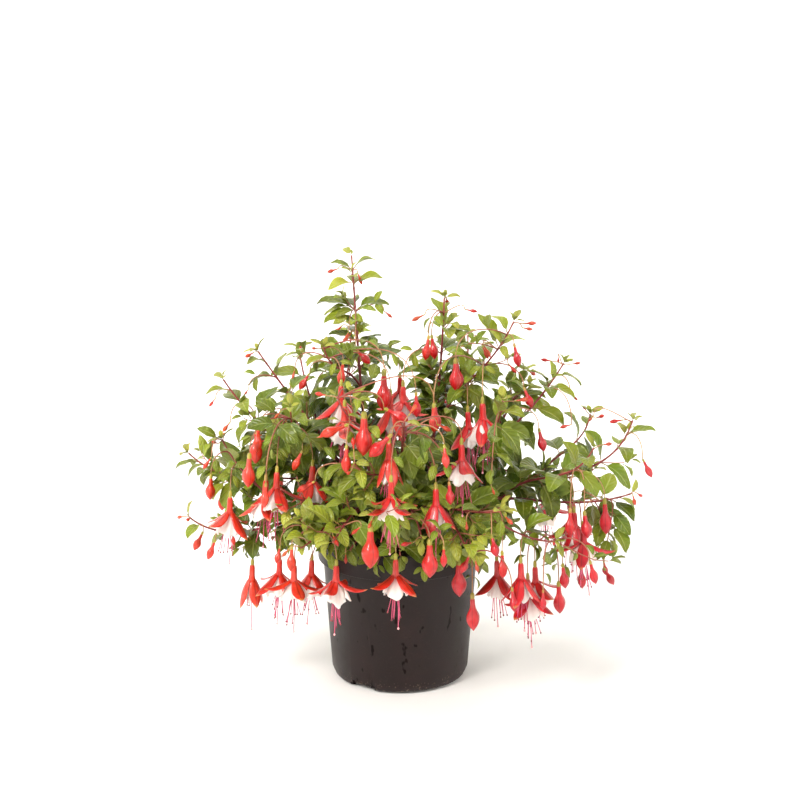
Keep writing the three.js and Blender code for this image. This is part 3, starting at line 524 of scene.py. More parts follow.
def add_leaf(cutting, spot, stem_along, turn, spread, size, age, bends=(30, 70)):
    """A small leaf in the first clear pose of a few, where there is one."""
    rise, bend, roll = chance.uniform(8, 34), chance.uniform(*bends), chance.uniform(-20, 20)
    for extra in (0, 35, -35):
        pose = leaf_pose(spot, stem_along, turn + extra, spread, size, rise, bend, roll)
        if is_in_box(leaf_probes(pose)) and is_clear(leaf_probes(pose), spot, CLOSE):
            take(leaf_probes(pose)[::2], 0)
            leaves.append(SimpleNamespace(cutting=cutting, pose=pose, age=age))
            return True
    return False


def add_sprig(cutting, spot, heading, length, sizes, age):
    """A short side shoot with a pair of leaves at each of a few joints, the smallest at its tip."""
    end = spot + heading * length
    if not is_clear(np.array([end, spot + heading * length * 0.7]), spot, CLOSE):
        return
    twig = Curve(spot, spot + heading * length * 0.35, end - unit(heading + UP * 0.5) * length * 0.3, end)
    sprigs.append(SimpleNamespace(cutting=cutting, curve=twig))
    take(twig.at([0.5, 0.8, 1]), TWIG_ROOM)
    first_turn = chance.uniform(0, 180)
    for rank, size in enumerate(sizes):
        share = 1 - rank * 0.3
        for half in (0, 180):
            turn = first_turn + PAIR_TURN * rank + half + chance.uniform(-15, 15)
            spread, leaf_age = min(62, 26 + 18 * rank), age * (1 - 0.12 * rank)
            leaf_size = size * chance.uniform(0.85, 1.15)
            add_leaf(cutting, twig.at(share), twig.along(share), turn, spread, leaf_size, leaf_age)


def bare_share(spot):
    """The share of leaf axils without a sprig. The bush is thinner at its top and its sides."""
    if spot[2] > HIGH_UP:
        return 0.35
    if spot[0] > FAR_RIGHT:
        return 0.85
    return 0.55 if spot[0] < FAR_LEFT else 0.42


for grown in shoots:
    tip, tip_along = grown.curve.at(1), grown.curve.along(1)
    for rank, (size, spread) in enumerate([(14, 58), (9, 40), (5, 18)]):
        for half in (0, 180):
            turn = grown.joints[-1].turn + PAIR_TURN * rank + half
            add_leaf(grown.cutting, tip, tip_along, turn, spread, size, 1, (20, 50))
    for joint in grown.joints:
        for half in (0, 180):
            if joint.rank < 2 or chance.random() < bare_share(joint.spot):
                continue
            heading = from_joint(joint.along, joint.turn + half + chance.uniform(-15, 15), 44)
            sizes = (11, 19, 26, 30)[: chance.integers(2, 5)]
            age = between((1, 0.3), (joint.rank - 2) / 4)
            length = chance.uniform(10, 20) if joint.spot[2] > HIGH_UP else chance.uniform(14, 34)
            add_sprig(grown.cutting, joint.spot, unit(heading + UP * 0.25), length, sizes, max(0.2, age))

# Two sprigs of the leafy tip that hides half of the middle flower, and a thin one that reaches past the
# flowers on the right: root, heading, length, leaf sizes and age
FRONT_TIP, RIGHT_TIP = np.array([-22.0, -172, 218]), np.array([145.0, -130, 180])
FRONT_CUTTING = 1
for root, heading, length, sizes, age in [
    (FRONT_TIP, (24.0, -21, 17), 34, (12, 21, 27, 27), 0.7),
    (FRONT_TIP, (2.0, -24, 4), 20, (12, 20, 24), 0.6),
    (RIGHT_TIP, (51.0, 2, -20), 55, (15, 17, 12), 0.5),
]:
    add_sprig(FRONT_CUTTING, root, unit(np.array(heading)), length, sizes, age)

# A flower that hangs far from its joint ends a leafy side shoot of its own
BARE_STALK = 17
LONG_STALK, LONGEST_STALK = 34, 60
HIGH_HUNG, RIGHT_HUNG = 300, 180
PAIR_EVERY = 13
for hung in flowers + more_flowers + buds:
    hung.leafy = max(0, 1 - BARE_STALK / hung.stalk.length)
    pairs = int(hung.leafy * hung.stalk.length / PAIR_EVERY)
    if hung.top[2] > HIGH_HUNG and hung.stalk.length > LONG_STALK:
        hung.leafy, pairs = 0.6, 1 + (hung.stalk.length > LONGEST_STALK)
    elif hung.top[2] > HIGH_HUNG or (hung.top[0] > FAR_RIGHT and hung.top[2] > RIGHT_HUNG):
        hung.leafy, pairs = 0, 0
    first_turn = chance.uniform(0, 180)
    for rank in range(pairs):
        share = hung.leafy * (1 - rank / pairs)
        for half in (0, 180):
            turn = first_turn + PAIR_TURN * rank + half + chance.uniform(-20, 20)
            spot, stem_along = hung.stalk.at(share), hung.stalk.along(share)
            size = min(28, 14 + 5 * rank) * chance.uniform(0.85, 1.15)
            add_leaf(hung.cutting, spot, stem_along, turn, 58, size, max(0.1, 0.55 - 0.14 * rank))

# Low side shoots arch over the soil and hide the rim: azimuth, reach and height of their tips
LOW_SHOOTS = [
    (-152, 104, 158), (-134, 100, 150), (-117, 106, 160), (-103, 98, 146), (-90, 104, 158), (-77, 98, 144),
    (-63, 106, 160), (-46, 100, 150), (-26, 106, 162), (-4, 102, 152), (20, 108, 164), (48, 102, 154),
    (76, 106, 162), (104, 102, 152), (132, 108, 164), (160, 102, 154), (184, 108, 162),
]
# The pairs on each: how far below the tip, and the leaves' size
LOW_PAIRS = [(0, 10), (3, 17), (14, 24), (28, 29), (44, 31), (62, 30)]
low_shoots = []
for turn, reach, height in LOW_SHOOTS:
    tip = Vector((reach, 0, height))
    tip.rotate(Matrix.Rotation(math.radians(turn), 3, "Z"))
    places = [math.dist((x, y), tip[:2]) for (x, y), _ in CUTTINGS]
    number = places.index(min(places))
    (x, y), _ = CUTTINGS[number]
    curve = shoot_curve(np.array([x, y, SOIL_TOP + SOIL_DOME + 10.0]), shoot(10, tuple(tip), 62, -35))
    low_shoots.append(SimpleNamespace(cutting=number, curve=curve))
    take(curve.at(np.linspace(0, 1, 14)), 0.8)
    first_turn = chance.uniform(-20, 20)
    for rank, (from_tip, size) in enumerate(LOW_PAIRS):
        share = 1 - from_tip / curve.length
        for half in (0, 180):
            turn = first_turn + PAIR_TURN * rank + half + chance.uniform(-15, 15)
            spot, stem_along, age = curve.at(share), curve.along(share), max(0.1, 0.7 - 0.16 * rank)
            add_leaf(number, spot, stem_along, turn, 60, size * chance.uniform(0.9, 1.1), age)
print("leaves in all:", len(leaves), "side sprigs:", len(sprigs), "low shoots:", len(low_shoots))

# %% [markdown]
# Old leaves stay on the bare lower stems, dark and at all angles, and close the middle of the bush. The
# youngest buds stand in pairs at the growing tips.

# %% Old leaves low down, and small buds at the tips
INNER_LEAVES = 26
BUDLESS_SHARE = 0.35
for grown in shoots:
    if grown.is_fork:
        continue
    for _ in range(INNER_LEAVES):
        share = chance.uniform(0.08, 0.7)
        spot, stem_along = grown.curve.at(share), grown.curve.along(share)
        turn, size, age = chance.uniform(0, 360), chance.uniform(24, 35), chance.uniform(0, 0.25)
        add_leaf(grown.cutting, spot, stem_along, turn, LEAF_SPREAD, size, age)

for grown in shoots:
    joint = grown.joints[-1]
    for half in (90, 270):
        if chance.random() < BUDLESS_SHARE:
            continue
        out = unit(from_joint(joint.along, joint.turn + half, 60) * (1, 1, 0.3))
        length = chance.uniform(8, 15)
        top = joint.spot + out * chance.uniform(7, 12) + UP * chance.uniform(-3, 3)
        down = unit(out * chance.uniform(0.5, 1.4) - UP * chance.uniform(-0.6, 1))
        if not is_clear(top + np.outer([0, 0.5, 1], down * length), joint.spot, CLOSE):
            continue
        stalk = Curve(joint.spot, joint.spot + unit(out + UP * 0.4) * 5, top - down * 3, top)
        tip_bud = SimpleNamespace(cutting=grown.cutting, stalk=stalk, top=top, down=down, length=length)
        tip_bud.leafy = 0
        buds.append(tip_bud)
        take(top + np.outer([0.2, 0.5, 0.8], down * length), 1.5)
print("leaves in all:", len(leaves), "buds:", len(buds))

# %% [markdown]
# The plan holds the flowers and buds that the photograph shows, so leaves should not hide them from there.
# A leaf is left out where it comes between the camera and the body of a flower or bud in front. The leafy
# tip in the middle stays, because in the photograph it does hide half of a flower.

# %% Clear lines of sight
CAMERA_SPOT = np.array([0.0, -1600.0, 650.0])
SIGHT_WIDTH = 5
TIP_SIZE = 45


def seen(spots):
    """Where the camera sees the spots, in millimetres across the plant's middle, and how far off."""
    ahead = np.asarray(spots) - CAMERA_SPOT
    return -CAMERA_SPOT[1] * ahead[:, [0, 2]] / ahead[:, 1:2], ahead[:, 1]


front_buds = [bud for bud in buds if bud.top[1] < 0]
front_flowers = [bloom for bloom in flowers + more_flowers if bloom.top[1] < 0]
shown_spots = [bud.top + np.outer([0.25, 0.5, 0.8], bud.down * bud.length) for bud in front_buds]
shown_spots += [on_flower(bloom, [5, 12, 20, 30], 0, 0) for bloom in front_flowers]
shown_at, shown_away = seen(np.vstack(shown_spots))


def hides_one(grown_leaf):
    if np.linalg.norm(grown_leaf.pose.root - FRONT_TIP) < TIP_SIZE:
        return False
    leaf_at, leaf_away = seen(leaf_probes(grown_leaf.pose))
    apart = np.linalg.norm(leaf_at[:, None] - shown_at[None], axis=2)
    return ((apart < SIGHT_WIDTH) & (leaf_away[:, None] < shown_away[None])).any()


leaves = [grown_leaf for grown_leaf in leaves if not hides_one(grown_leaf)]
print("leaves left:", len(leaves))

# %% [markdown]
# Leaves, stems, sepals and buds are all closed round bodies, thin or thick. So each starts as a globe of
# quads and is pulled to shape ring by ring. Every corner carries values that the finishes read: how far
# along it lies, how far across, which face it is on, and the part's own age and tint.

# %% A globe to shape, and a heap of shaped ones
VALUES = ("along", "across", "side", "tint", "age", "part")
globes = {}


def smooth_mesh(name, bm):
    """The mesh of a shape that is put in heaps again and again, and where its corners are."""
    for face in bm.faces:
        face.smooth = True
    mesh = bpy.data.meshes.new(name)
    bm.to_mesh(mesh)
    spots = np.array([v.co for v in bm.verts])
    bm.free()
    for value in VALUES:
        mesh.attributes.new(value, "FLOAT", "POINT")
    return mesh, spots


def globe(sides, rings, has_rim=False):
    """A closed body of so many sides and rings, and each corner's ring and turn. A rim parts two faces."""
    key = (sides, rings, has_rim)
    if key in globes:
        return globes[key]
    bm = bmesh.new()
    bmesh.ops.create_uvsphere(bm, u_segments=sides, v_segments=rings + 1, radius=1)
    for edge in bm.edges:
        edge.smooth = not has_rim or max(abs(v.co.y) for v in edge.verts) > 1e-4
    mesh, spots = smooth_mesh("globe", bm)
    ring = np.rint(np.arccos(np.clip(spots[:, 2], -1, 1)) / math.pi * (rings + 1)).astype(int)
    turn = np.arctan2(spots[:, 1], spots[:, 0])
    is_pole = (ring == 0) | (ring == rings + 1)
    globes[key] = SimpleNamespace(mesh=mesh, ring=ring, turn=turn, is_pole=is_pole)
    return globes[key]


def by_ring(values, ring):
    """Gives each corner the value of its ring, where there is one for each ring."""
    return {name: np.asarray(value)[ring] if np.ndim(value) else value for name, value in values.items()}


def add_to(heap, shape, spots, **values):
    """Puts one shaped globe, in millimetres, in the heap."""
    shape.mesh.vertices.foreach_set("co", (spots * MM).astype(np.float32).ravel())
    for name in VALUES:
        value = np.broadcast_to(values.get(name, 0), len(spots)).astype(np.float32)
        shape.mesh.attributes[name].data.foreach_set("value", value)
    heap.from_mesh(shape.mesh)


def add_bar(heap, spots, radii, sides=8, **values):
    """A round bar along a line of spots, closed at both ends."""
    shape = globe(sides, len(spots))
    ring = np.clip(shape.ring - 1, 0, len(spots) - 1)
    line = np.asarray(spots, float)
    tangents = np.gradient(line, axis=0)
    tangents /= np.linalg.norm(tangents, axis=1)[:, None]
    right = unit(np.cross(tangents[0], UP + [0.1, 0.2, 0]))
    rights = []
    for tangent in tangents:
        right = unit(right - tangent * right.dot(tangent))
        rights.append(right)
    rights = np.array(rights)
    backs = np.cross(rights, tangents)
    radius = np.where(shape.is_pole, 0, np.broadcast_to(radii, len(spots))[ring])[:, None]
    ahead, aside = np.cos(shape.turn)[:, None], np.sin(shape.turn)[:, None]
    corners = line[ring] + radius * (rights[ring] * ahead + backs[ring] * aside)
    add_to(heap, shape, corners, **{"along": ring / (len(spots) - 1), **by_ring(values, ring)})


def add_round(heap, top, right, back, down, distances, radii, sides=12, lobes=0.0, **values):
    """A body round the axis down from its top, with four shallow lobes where they are asked for."""
    shape = globe(sides, len(distances))
    ring = np.clip(shape.ring - 1, 0, len(distances) - 1)
    lobed = np.asarray(radii, float)[ring] * (1 + lobes * np.cos(4 * shape.turn))
    radius = np.where(shape.is_pole, 0, lobed)[:, None]
    corners = top + np.outer(np.asarray(distances, float)[ring], down)
    corners = corners + radius * (right * np.cos(shape.turn)[:, None] + back * np.sin(shape.turn)[:, None])
    own = {"along": ring / (len(distances) - 1), "across": np.cos(2 * shape.turn)}
    add_to(heap, shape, corners, **{**own, **by_ring(values, ring)})


def piece(name, bm, material, node):
    """The finished object, in place of its plain solid."""
    bmesh.ops.recalc_face_normals(bm, faces=bm.faces[:])
    mesh = bpy.data.meshes.new(name)
    bm.to_mesh(mesh)
    bm.free()
    mesh.materials.append(material)
    made = bpy.data.objects.new(name, mesh)
    bpy.context.scene.collection.objects.link(made)
    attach(made, "root")
    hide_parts(node)
    return made


def pieces_of_cuttings(name, material, fill):
    """A piece for each cutting in place of its part of the plain plant, where fill finds anything for it."""
    for number in range(len(CUTTINGS)):
        heap = bmesh.new()
        fill(heap, number)
        if heap.verts:
            node = f"leafy_cutting_{number + 1}"
            made = piece(name.format(number + 1), heap, material, node)
            print(made.name, "faces:", len(made.data.polygons))


def of_cutting(number, things):
    return [thing for thing in things if thing.cutting == number]


# %% [markdown]
# Finishes are shader nodes. One function adds a node with its settings and links, and another turns the
# usual written colours, which are as the eye sees them, into the linear ones that light is worked out in.

# %% Helpers for the finishes
def linear(written):
    parts = [int(written[i : i + 2], 16) / 255 for i in (1, 3, 5)]
    return tuple(p / 12.92 if p <= 0.04045 else ((p + 0.055) / 1.055) ** 2.4 for p in parts) + (1,)


# Which output of a kind of node goes on to the next, where it isn't the first
GIVES = {
    "Attribute": "Fac", "TexNoise": "Fac", "TexWave": "Fac", "TexCoord": "Object", "SeparateXYZ": "Z",
    "Mix": 2,
}


def add_node(material, kind, inputs=None, stops=None, **settings):
    """Adds a node and gives back its output. An input is a constant or the output of another node."""
    made = material.node_tree.nodes.new("ShaderNode" + kind)
    for name, value in settings.items():
        setattr(made, name, value)
    for name, value in (inputs or {}).items():
        if isinstance(value, bpy.types.NodeSocket):
            material.node_tree.links.new(value, made.inputs[name])
        else:
            made.inputs[name].default_value = value
    if stops:
        elements = made.color_ramp.elements
        while len(elements) < len(stops):
            elements.new(1)
        for element, (place, _) in zip(elements, stops):
            element.position = place
        for element, (_, colour) in zip(elements, stops):
            element.color = linear(colour)
    return made.outputs[GIVES.get(kind, 0)] if made.outputs else None


def new_material(name):
    material = bpy.data.materials.new(name)
    material.use_nodes = True
    material.node_tree.nodes.clear()
    return material


def finish_with(material, **inputs):
    """Joins the inputs to one all-round shader and that to the material's output."""
    named = {name.replace("_", " ").title().replace("Ior", "IOR"): value for name, value in inputs.items()}
    add_node(material, "OutputMaterial", {"Surface": add_node(material, "BsdfPrincipled", named)})


# %% [markdown]
# A fuchsia leaf is thin and softly shiny. It is mid green above with lighter sunk veins, and paler and
# duller below. Young leaves are yellow green, old ones deep green, and the leaf stalk is flushed red.

# %% Leaf finish
FIRST_COLOUR, SECOND_COLOUR = 6, 7
leaf = new_material("leaf")
READ_BY_LEAF = ("along", "across", "side", "tint", "age")
read = {name: add_node(leaf, "Attribute", attribute_name=name) for name in READ_BY_LEAF}
# The age read here also carries painted shade, lowered for leaves in the middle of the bush
aged = add_node(
    leaf, "ValToRGB", {"Fac": read["age"]},
    [(0, "#43520a"), (0.3, "#627215"), (0.65, "#849028"), (1, "#9ea03c")],
)
away = add_node(leaf, "Math", {0: read["across"]}, operation="ABSOLUTE")
swept = add_node(leaf, "Math", {0: away, 1: -0.26, 2: read["along"]}, operation="MULTIPLY_ADD")
ribs = add_node(leaf, "CombineXYZ", {"X": swept})
waves = add_node(leaf, "TexWave", {"Vector": ribs, "Scale": 2.2, "Distortion": 0.5})
side_veins = add_node(leaf, "ValToRGB", {"Fac": waves}, [(0.84, "#000000"), (0.99, "#606060")])
midrib = add_node(leaf, "ValToRGB", {"Fac": away}, [(0, "#ffffff"), (0.06, "#c0c0c0"), (0.13, "#000000")])
lines = add_node(leaf, "Math", {0: midrib, 1: side_veins}, operation="MAXIMUM")
line_share = add_node(leaf, "Math", {0: lines, 1: 0.5}, operation="MULTIPLY")
veined = add_node(
    leaf, "Mix", {0: line_share, FIRST_COLOUR: aged, SECOND_COLOUR: linear("#aeb765")}, data_type="RGBA"
)
is_under = add_node(leaf, "Math", {0: read["side"], 1: -0.05}, operation="LESS_THAN")
under_share = add_node(leaf, "Math", {0: is_under, 1: 0.62}, operation="MULTIPLY")
two_faced = add_node(
    leaf, "Mix", {0: under_share, FIRST_COLOUR: veined, SECOND_COLOUR: linear("#93a056")}, data_type="RGBA"
)
stalk_share = add_node(
    leaf, "ValToRGB", {"Fac": read["along"]}, [(0, "#ffffff"), (0.16, "#a0a0a0"), (0.24, "#000000")]
)
stalked = add_node(
    leaf, "Mix", {0: stalk_share, FIRST_COLOUR: two_faced, SECOND_COLOUR: linear("#a8604a")},
    data_type="RGBA",
)
shade = add_node(leaf, "MapRange", {0: read["tint"], 3: 0.76, 4: 1.24})
place = add_node(leaf, "TexCoord")
regions = add_node(leaf, "TexNoise", {"Vector": place, "Scale": 34.0, "Detail": 1.0})
leaf_hue = add_node(leaf, "MapRange", {0: regions, 1: 0.3, 2: 0.7, 3: 0.48, 4: 0.511})
leaf_colour = add_node(leaf, "HueSaturation", {"Color": stalked, "Hue": leaf_hue, "Value": shade})
hollows = add_node(leaf, "Math", {0: waves, 1: 0.45, 2: midrib}, operation="MULTIPLY_ADD")
sunk = add_node(leaf, "Math", {0: 1.0, 1: hollows}, operation="SUBTRACT")
leaf_bump = add_node(leaf, "Bump", {"Height": sunk, "Strength": 0.7, "Distance": 0.0008})
finish_with(
    leaf, base_color=leaf_colour, roughness=0.36, specular_ior_level=0.42, ior=1.45, subsurface_weight=0.12,
    subsurface_radius=(0.001, 0.002, 0.0005), subsurface_scale=0.6, normal=leaf_bump,
)

# %% [markdown]
# Young fuchsia wood is smooth and dark wine red. It turns brown and dull at the foot. The flower stalks
# are the same tissue but thin and pale, tan with a pink flush, so one finish runs through all of these.

# %% Stem finish
WOOD = 1.0
stem = new_material("stem")
stem_age = add_node(stem, "Attribute", attribute_name="age")
place = add_node(stem, "TexCoord")
barked = add_node(
    stem, "ValToRGB", {"Fac": stem_age},
    [(0, "#b08c5c"), (0.2, "#a46c4e"), (0.42, "#8a3838"), (0.7, "#6e2f2c"), (1, "#6a4a34")],
)
streaks = add_node(stem, "TexNoise", {"Vector": place, "Scale": 420.0, "Detail": 3.0})
stem_shade = add_node(stem, "MapRange", {0: streaks, 3: 0.7, 4: 1.3})
stem_colour = add_node(stem, "HueSaturation", {"Color": barked, "Value": stem_shade})
stem_bump = add_node(stem, "Bump", {"Height": streaks, "Strength": 0.25, "Distance": 0.0005})
finish_with(stem, base_color=stem_colour, roughness=0.48, ior=1.45, normal=stem_bump)

# %% [markdown]
# The sepals and the tube are thick, waxy and glossy, scarlet on this plant, with green at the sepal
# tips. The ovary is green, the threads pink red, the pollen heads dark red, and the style ends pale.

# %% Red finish, for flowers and for buds
# Where each part's colour is on the red finish's ramp
OVARY, THROAT_GREEN, TUBE, SEPAL, SEPAL_TIP, THREAD = 0.0, 0.09, 0.16, 0.3, 0.58, 0.72
POLLEN_HEAD, STIGMA = 0.86, 1.0
red = new_material("flower_red")
READ_BY_RED = ("across", "side", "tint", "part")
read = {name: add_node(red, "Attribute", attribute_name=name) for name in READ_BY_RED}
place = add_node(red, "TexCoord")
PART_COLOURS = [
    (0, "#a29a35"), (0.09, "#b98a38"), (0.13, "#c81711"), (0.3, "#c4130f"), (0.5, "#ca1a18"),
    (0.58, "#c98a4c"), (0.72, "#cf4a74"), (0.86, "#7a1c34"), (1, "#e9a9ad"),
]
painted = add_node(red, "ValToRGB", {"Fac": read["part"]}, PART_COLOURS)
is_inner = add_node(red, "Math", {0: read["side"], 1: -0.05}, operation="LESS_THAN")
inner_share = add_node(red, "Math", {0: is_inner, 1: 0.35}, operation="MULTIPLY")
lined = add_node(
    red, "Mix", {0: inner_share, FIRST_COLOUR: painted, SECOND_COLOUR: linear("#e85a5a")}, data_type="RGBA"
)
# Painted highlights: pale pink patches, placed at random, stand in for soft highlights on the waxy red
highlight_patches = add_node(red, "TexNoise", {"Vector": place, "Scale": 95.0, "Detail": 1.0})
painted_highlight_share = add_node(red, "MapRange", {0: highlight_patches, 1: 0.5, 2: 0.74, 4: 0.3})
with_painted_highlights = add_node(
    red, "Mix", {0: painted_highlight_share, FIRST_COLOUR: lined, SECOND_COLOUR: linear("#ec6c66")}, data_type="RGBA"
)
# Painted light: tint rises to the right, so the reds are paler and more orange on the left, darker on the
# right
hue = add_node(red, "MapRange", {0: read["tint"], 3: 0.506, 4: 0.496})
mottle = add_node(red, "TexNoise", {"Vector": place, "Scale": 160.0, "Detail": 2.0})
mottled = add_node(red, "MapRange", {0: mottle, 3: 0.76, 4: 1.26})
painted_side_light = add_node(red, "MapRange", {0: read["tint"], 3: 1.1, 4: 0.82})
# Painted shade: seams between the lobes of buds and tubes are darkened, and so is the middle of each sepal
off_seam = add_node(red, "Math", {0: read["across"]}, operation="ABSOLUTE")
seam_shade_and_groove = add_node(red, "MapRange", {0: off_seam, 2: 0.2, 3: 0.58}, interpolation_type="SMOOTHSTEP")
painted_light_and_seam_shade = add_node(red, "Math", {0: painted_side_light, 1: seam_shade_and_groove}, operation="MULTIPLY")
red_shade = add_node(red, "Math", {0: mottled, 1: painted_light_and_seam_shade}, operation="MULTIPLY")
red_colour = add_node(red, "HueSaturation", {"Color": with_painted_highlights, "Hue": hue, "Value": red_shade})
stripes = add_node(red, "CombineXYZ", {"X": read["across"]})
fine = add_node(red, "TexWave", {"Vector": stripes, "Scale": 3.0, "Distortion": 0.4})
fine_and_seam = add_node(red, "Math", {0: fine, 1: 0.25, 2: seam_shade_and_groove}, operation="MULTIPLY_ADD")
red_bump = add_node(red, "Bump", {"Height": fine_and_seam, "Strength": 0.4, "Distance": 0.0005})
finish_with(
    red, base_color=red_colour, roughness=0.3, ior=1.45, coat_weight=0.32, coat_roughness=0.1,
    subsurface_weight=0.08, subsurface_radius=(0.002, 0.0006, 0.0004), subsurface_scale=0.5, normal=red_bump,
)

# %% [markdown]
# Petals are thin and matt, white with a pink flush and red veins at their base. Light goes into them and
# comes out again a little warmer, so folds look cream and not grey.

# %% Petal finish
petal = new_material("petal_white")
read = {name: add_node(petal, "Attribute", attribute_name=name) for name in ("along", "across")}
flushed = add_node(
    petal, "ValToRGB", {"Fac": read["along"]},
    [(0, "#e08892"), (0.2, "#edbfb9"), (0.5, "#f1dbd2"), (1, "#f3e8df")],
)
fan = add_node(petal, "CombineXYZ", {"X": read["across"]})
petal_lines = add_node(petal, "TexWave", {"Vector": fan, "Scale": 2.2, "Distortion": 0.8})
line_strength = add_node(
    petal, "ValToRGB", {"Fac": read["along"]}, [(0, "#808080"), (0.35, "#303030"), (0.7, "#060606")]
)
thin_lines = add_node(petal, "ValToRGB", {"Fac": petal_lines}, [(0.8, "#000000"), (0.97, "#ffffff")])
petal_share = add_node(petal, "Math", {0: thin_lines, 1: line_strength}, operation="MULTIPLY")
petal_colour = add_node(
    petal, "Mix", {0: petal_share, FIRST_COLOUR: flushed, SECOND_COLOUR: linear("#e0788c")},
    data_type="RGBA",
)
petal_bump = add_node(petal, "Bump", {"Height": petal_lines, "Strength": 0.2, "Distance": 0.0004})
finish_with(
    petal, base_color=petal_colour, roughness=0.6, ior=1.4, subsurface_weight=0.3,
    subsurface_radius=(0.003, 0.002, 0.0015), subsurface_scale=1.0, normal=petal_bump,
)
print("finishes:", [m.name for m in (leaf, stem, red, petal)])

# %% [markdown]
# ## Leaves
# The blade is an egg-shaped lens with a pointed tip, a stalk as round as a thread, a folded midrib and a
# margin that waves a little. The large leaves take a finer globe than the many small ones. A leaf that
# would reach into the pot once it is turned to the light is left out.

# %% Leaves
LEAF_STOPS = [0, 0.1, 0.19, 0.27, 0.38, 0.5, 0.62, 0.75, 0.86, 0.95, 1]
SMALL_LEAF_STOPS = [0, 0.18, 0.3, 0.5, 0.72, 0.9, 1]
HALF_WIDTH = 0.255
SMALL_LEAF = 27
LEAF_STALK_RADIUS = 0.55
BLADE_THICKNESS, MIDRIB_GROOVE = 0.22, 0.1
TO_LIGHT, TURN_SHARE = unit(np.array([-0.3, -0.7, 0.5])), 0.45
# Painted shade: leaves darken near the pot's axis and pale over a distance, and the same up from a height
SHADED_CORE_RADIUS, SHADE_FADE = 30, 60
SHADED_CORE_TOP, SHADE_TOP_FADE = 280, 40
POT_INSIDE, WALL_ROOM, SOIL_ROOM = 66, 2.5, 4
OUTLINE_RISE, OUTLINE_FALL, OUTLINE_SCALE = 0.66, 0.95, 2.93
GROOVE_SHARE, WAVE_SHARE, FULL_LENGTH = 0.3, 0.035, 30
# One run of draws varies the shapes from here on
fresh = np.random.default_rng(21)


def turn_to_light(pose, share):
    """Rolls a blade about its own line towards the light, and lets it hang a little more."""
    upward = pose.up + TO_LIGHT * share + pose.side * fresh.uniform(-0.25, 0.25)
    pose.up = unit(upward - pose.out * upward.dot(pose.out))
    pose.side = np.cross(pose.out, pose.up)
    pose.bend += fresh.uniform(0, 30)


def is_in_pot(spots):
    """Whether any spot lies in the pot's wall or in the soil."""
    from_axis = np.hypot(spots[:, 0], spots[:, 1])
    by_wall = (from_axis < POT_RADIUS + WALL_ROOM) & (from_axis > POT_INSIDE)
    in_wall = by_wall & (spots[:, 2] < POT_HEIGHT + 1)
    in_soil = (from_axis < POT_INSIDE) & (spots[:, 2] < SOIL_TOP + SOIL_ROOM)
    return bool((in_wall | in_soil).any())


def add_leaf_shape(heap, grown_leaf):
    pose, is_large = grown_leaf.pose, grown_leaf.pose.length > SMALL_LEAF
    turn_to_light(pose, TURN_SHARE)
    stops = LEAF_STOPS if is_large else SMALL_LEAF_STOPS
    shape = globe(8 if is_large else 6, len(stops) - 2, True)
    along = np.array(stops)[shape.ring]
    blade = np.clip((along - PETIOLE_SHARE) / (1 - PETIOLE_SHARE), 0, 1)
    outline = blade**OUTLINE_RISE * (1 - blade) ** OUTLINE_FALL * OUTLINE_SCALE * fresh.uniform(0.86, 1.1)
    stalk_radius = LEAF_STALK_RADIUS * min(1, pose.length / FULL_LENGTH)
    half_width = np.maximum(outline * HALF_WIDTH * pose.length, stalk_radius)
    across, side = np.where(shape.is_pole, 0, np.cos(shape.turn)), np.sin(shape.turn)
    groove = MIDRIB_GROOVE * np.sign(side) * (np.abs(across) < GROOVE_SHARE)
    thickness = np.where(blade > 0, BLADE_THICKNESS - groove, stalk_radius)
    wave = np.sin(along * fresh.uniform(7, 12) + fresh.uniform(0, 6)) * np.abs(across) ** 2
    wave = WAVE_SHARE * pose.length * wave * (blade > 0)
    lift = np.where(shape.is_pole, 0, side * thickness) + wave
    spots = on_blade(pose, along * pose.length, across * half_width, lift)
    # Painted shade: the age that colours the leaf is lowered near the axis and below a height
    outward = np.clip((np.hypot(*pose.root[:2]) - SHADED_CORE_RADIUS) / SHADE_FADE, 0, 1)
    upward = np.clip((pose.root[2] - SHADED_CORE_TOP) / SHADE_TOP_FADE, 0, 1)
    age, tint = grown_leaf.age * between((0.2, 1), max(outward, upward)), fresh.random()
    if not is_in_pot(spots[along > PETIOLE_SHARE]):
        add_to(heap, shape, spots, along=along, across=across, side=side, age=age, tint=tint)


def add_leaves(heap, number):
    for grown_leaf in of_cutting(number, leaves):
        add_leaf_shape(heap, grown_leaf)


pieces_of_cuttings("leaves_{}", leaf, add_leaves)

# %% [markdown]
# ## Stems
# Each cutting stands on a short woody foot in the soil. Its shoots taper to their tips and swell a
# little at every joint, and the stalks of flowers and buds leave from there.

# %% Stems
WOOD_RADIUS, SHOOT_RADIUS, FORK_RADIUS, TIP_RADIUS = 4.2, 2.4, 1.35, 0.75
LOW_RADIUS, TWIG_RADII = 1.6, (0.65, 0.45)
# A stalk's radius where it leaves the stem, where it turns bare, and at the flower
LEAFY_STALK, BARE_STALK_RADIUS, STALK_END = 0.75, 0.6, 0.5
SHOOT_AGE, FORK_AGE, TIP_AGE, TWIG_AGE = 0.85, 0.6, 0.36, 0.3
FOOT_DEPTH, FOOT_HEIGHT, FOOT_RINGS = 30, 24, 12


def add_shoot(heap, grown):
    length = grown.curve.length
    joint_shares = [1 - JOINTS_FROM_TIP[j.rank] / length for j in grown.joints]
    near_joints = [share + off / length for share in joint_shares for off in (-2, 0, 2)]
    shares = list(np.linspace(0, 1, int(length / 5) + 2)) + [share for share in near_joints if share < 1]
    shares = np.array(sorted(shares))
    base = FORK_RADIUS if grown.is_fork else SHOOT_RADIUS
    radii = between((base, TIP_RADIUS), shares**0.8)
    for share in joint_shares:
        radii = radii * (1 + 0.32 * np.exp(-(((shares - share) * length / 2) ** 2)))
    age = between((FORK_AGE if grown.is_fork else SHOOT_AGE, TIP_AGE), shares)
    add_bar(heap, grown.curve.at(shares), radii, 8, age=age, tint=fresh.random())


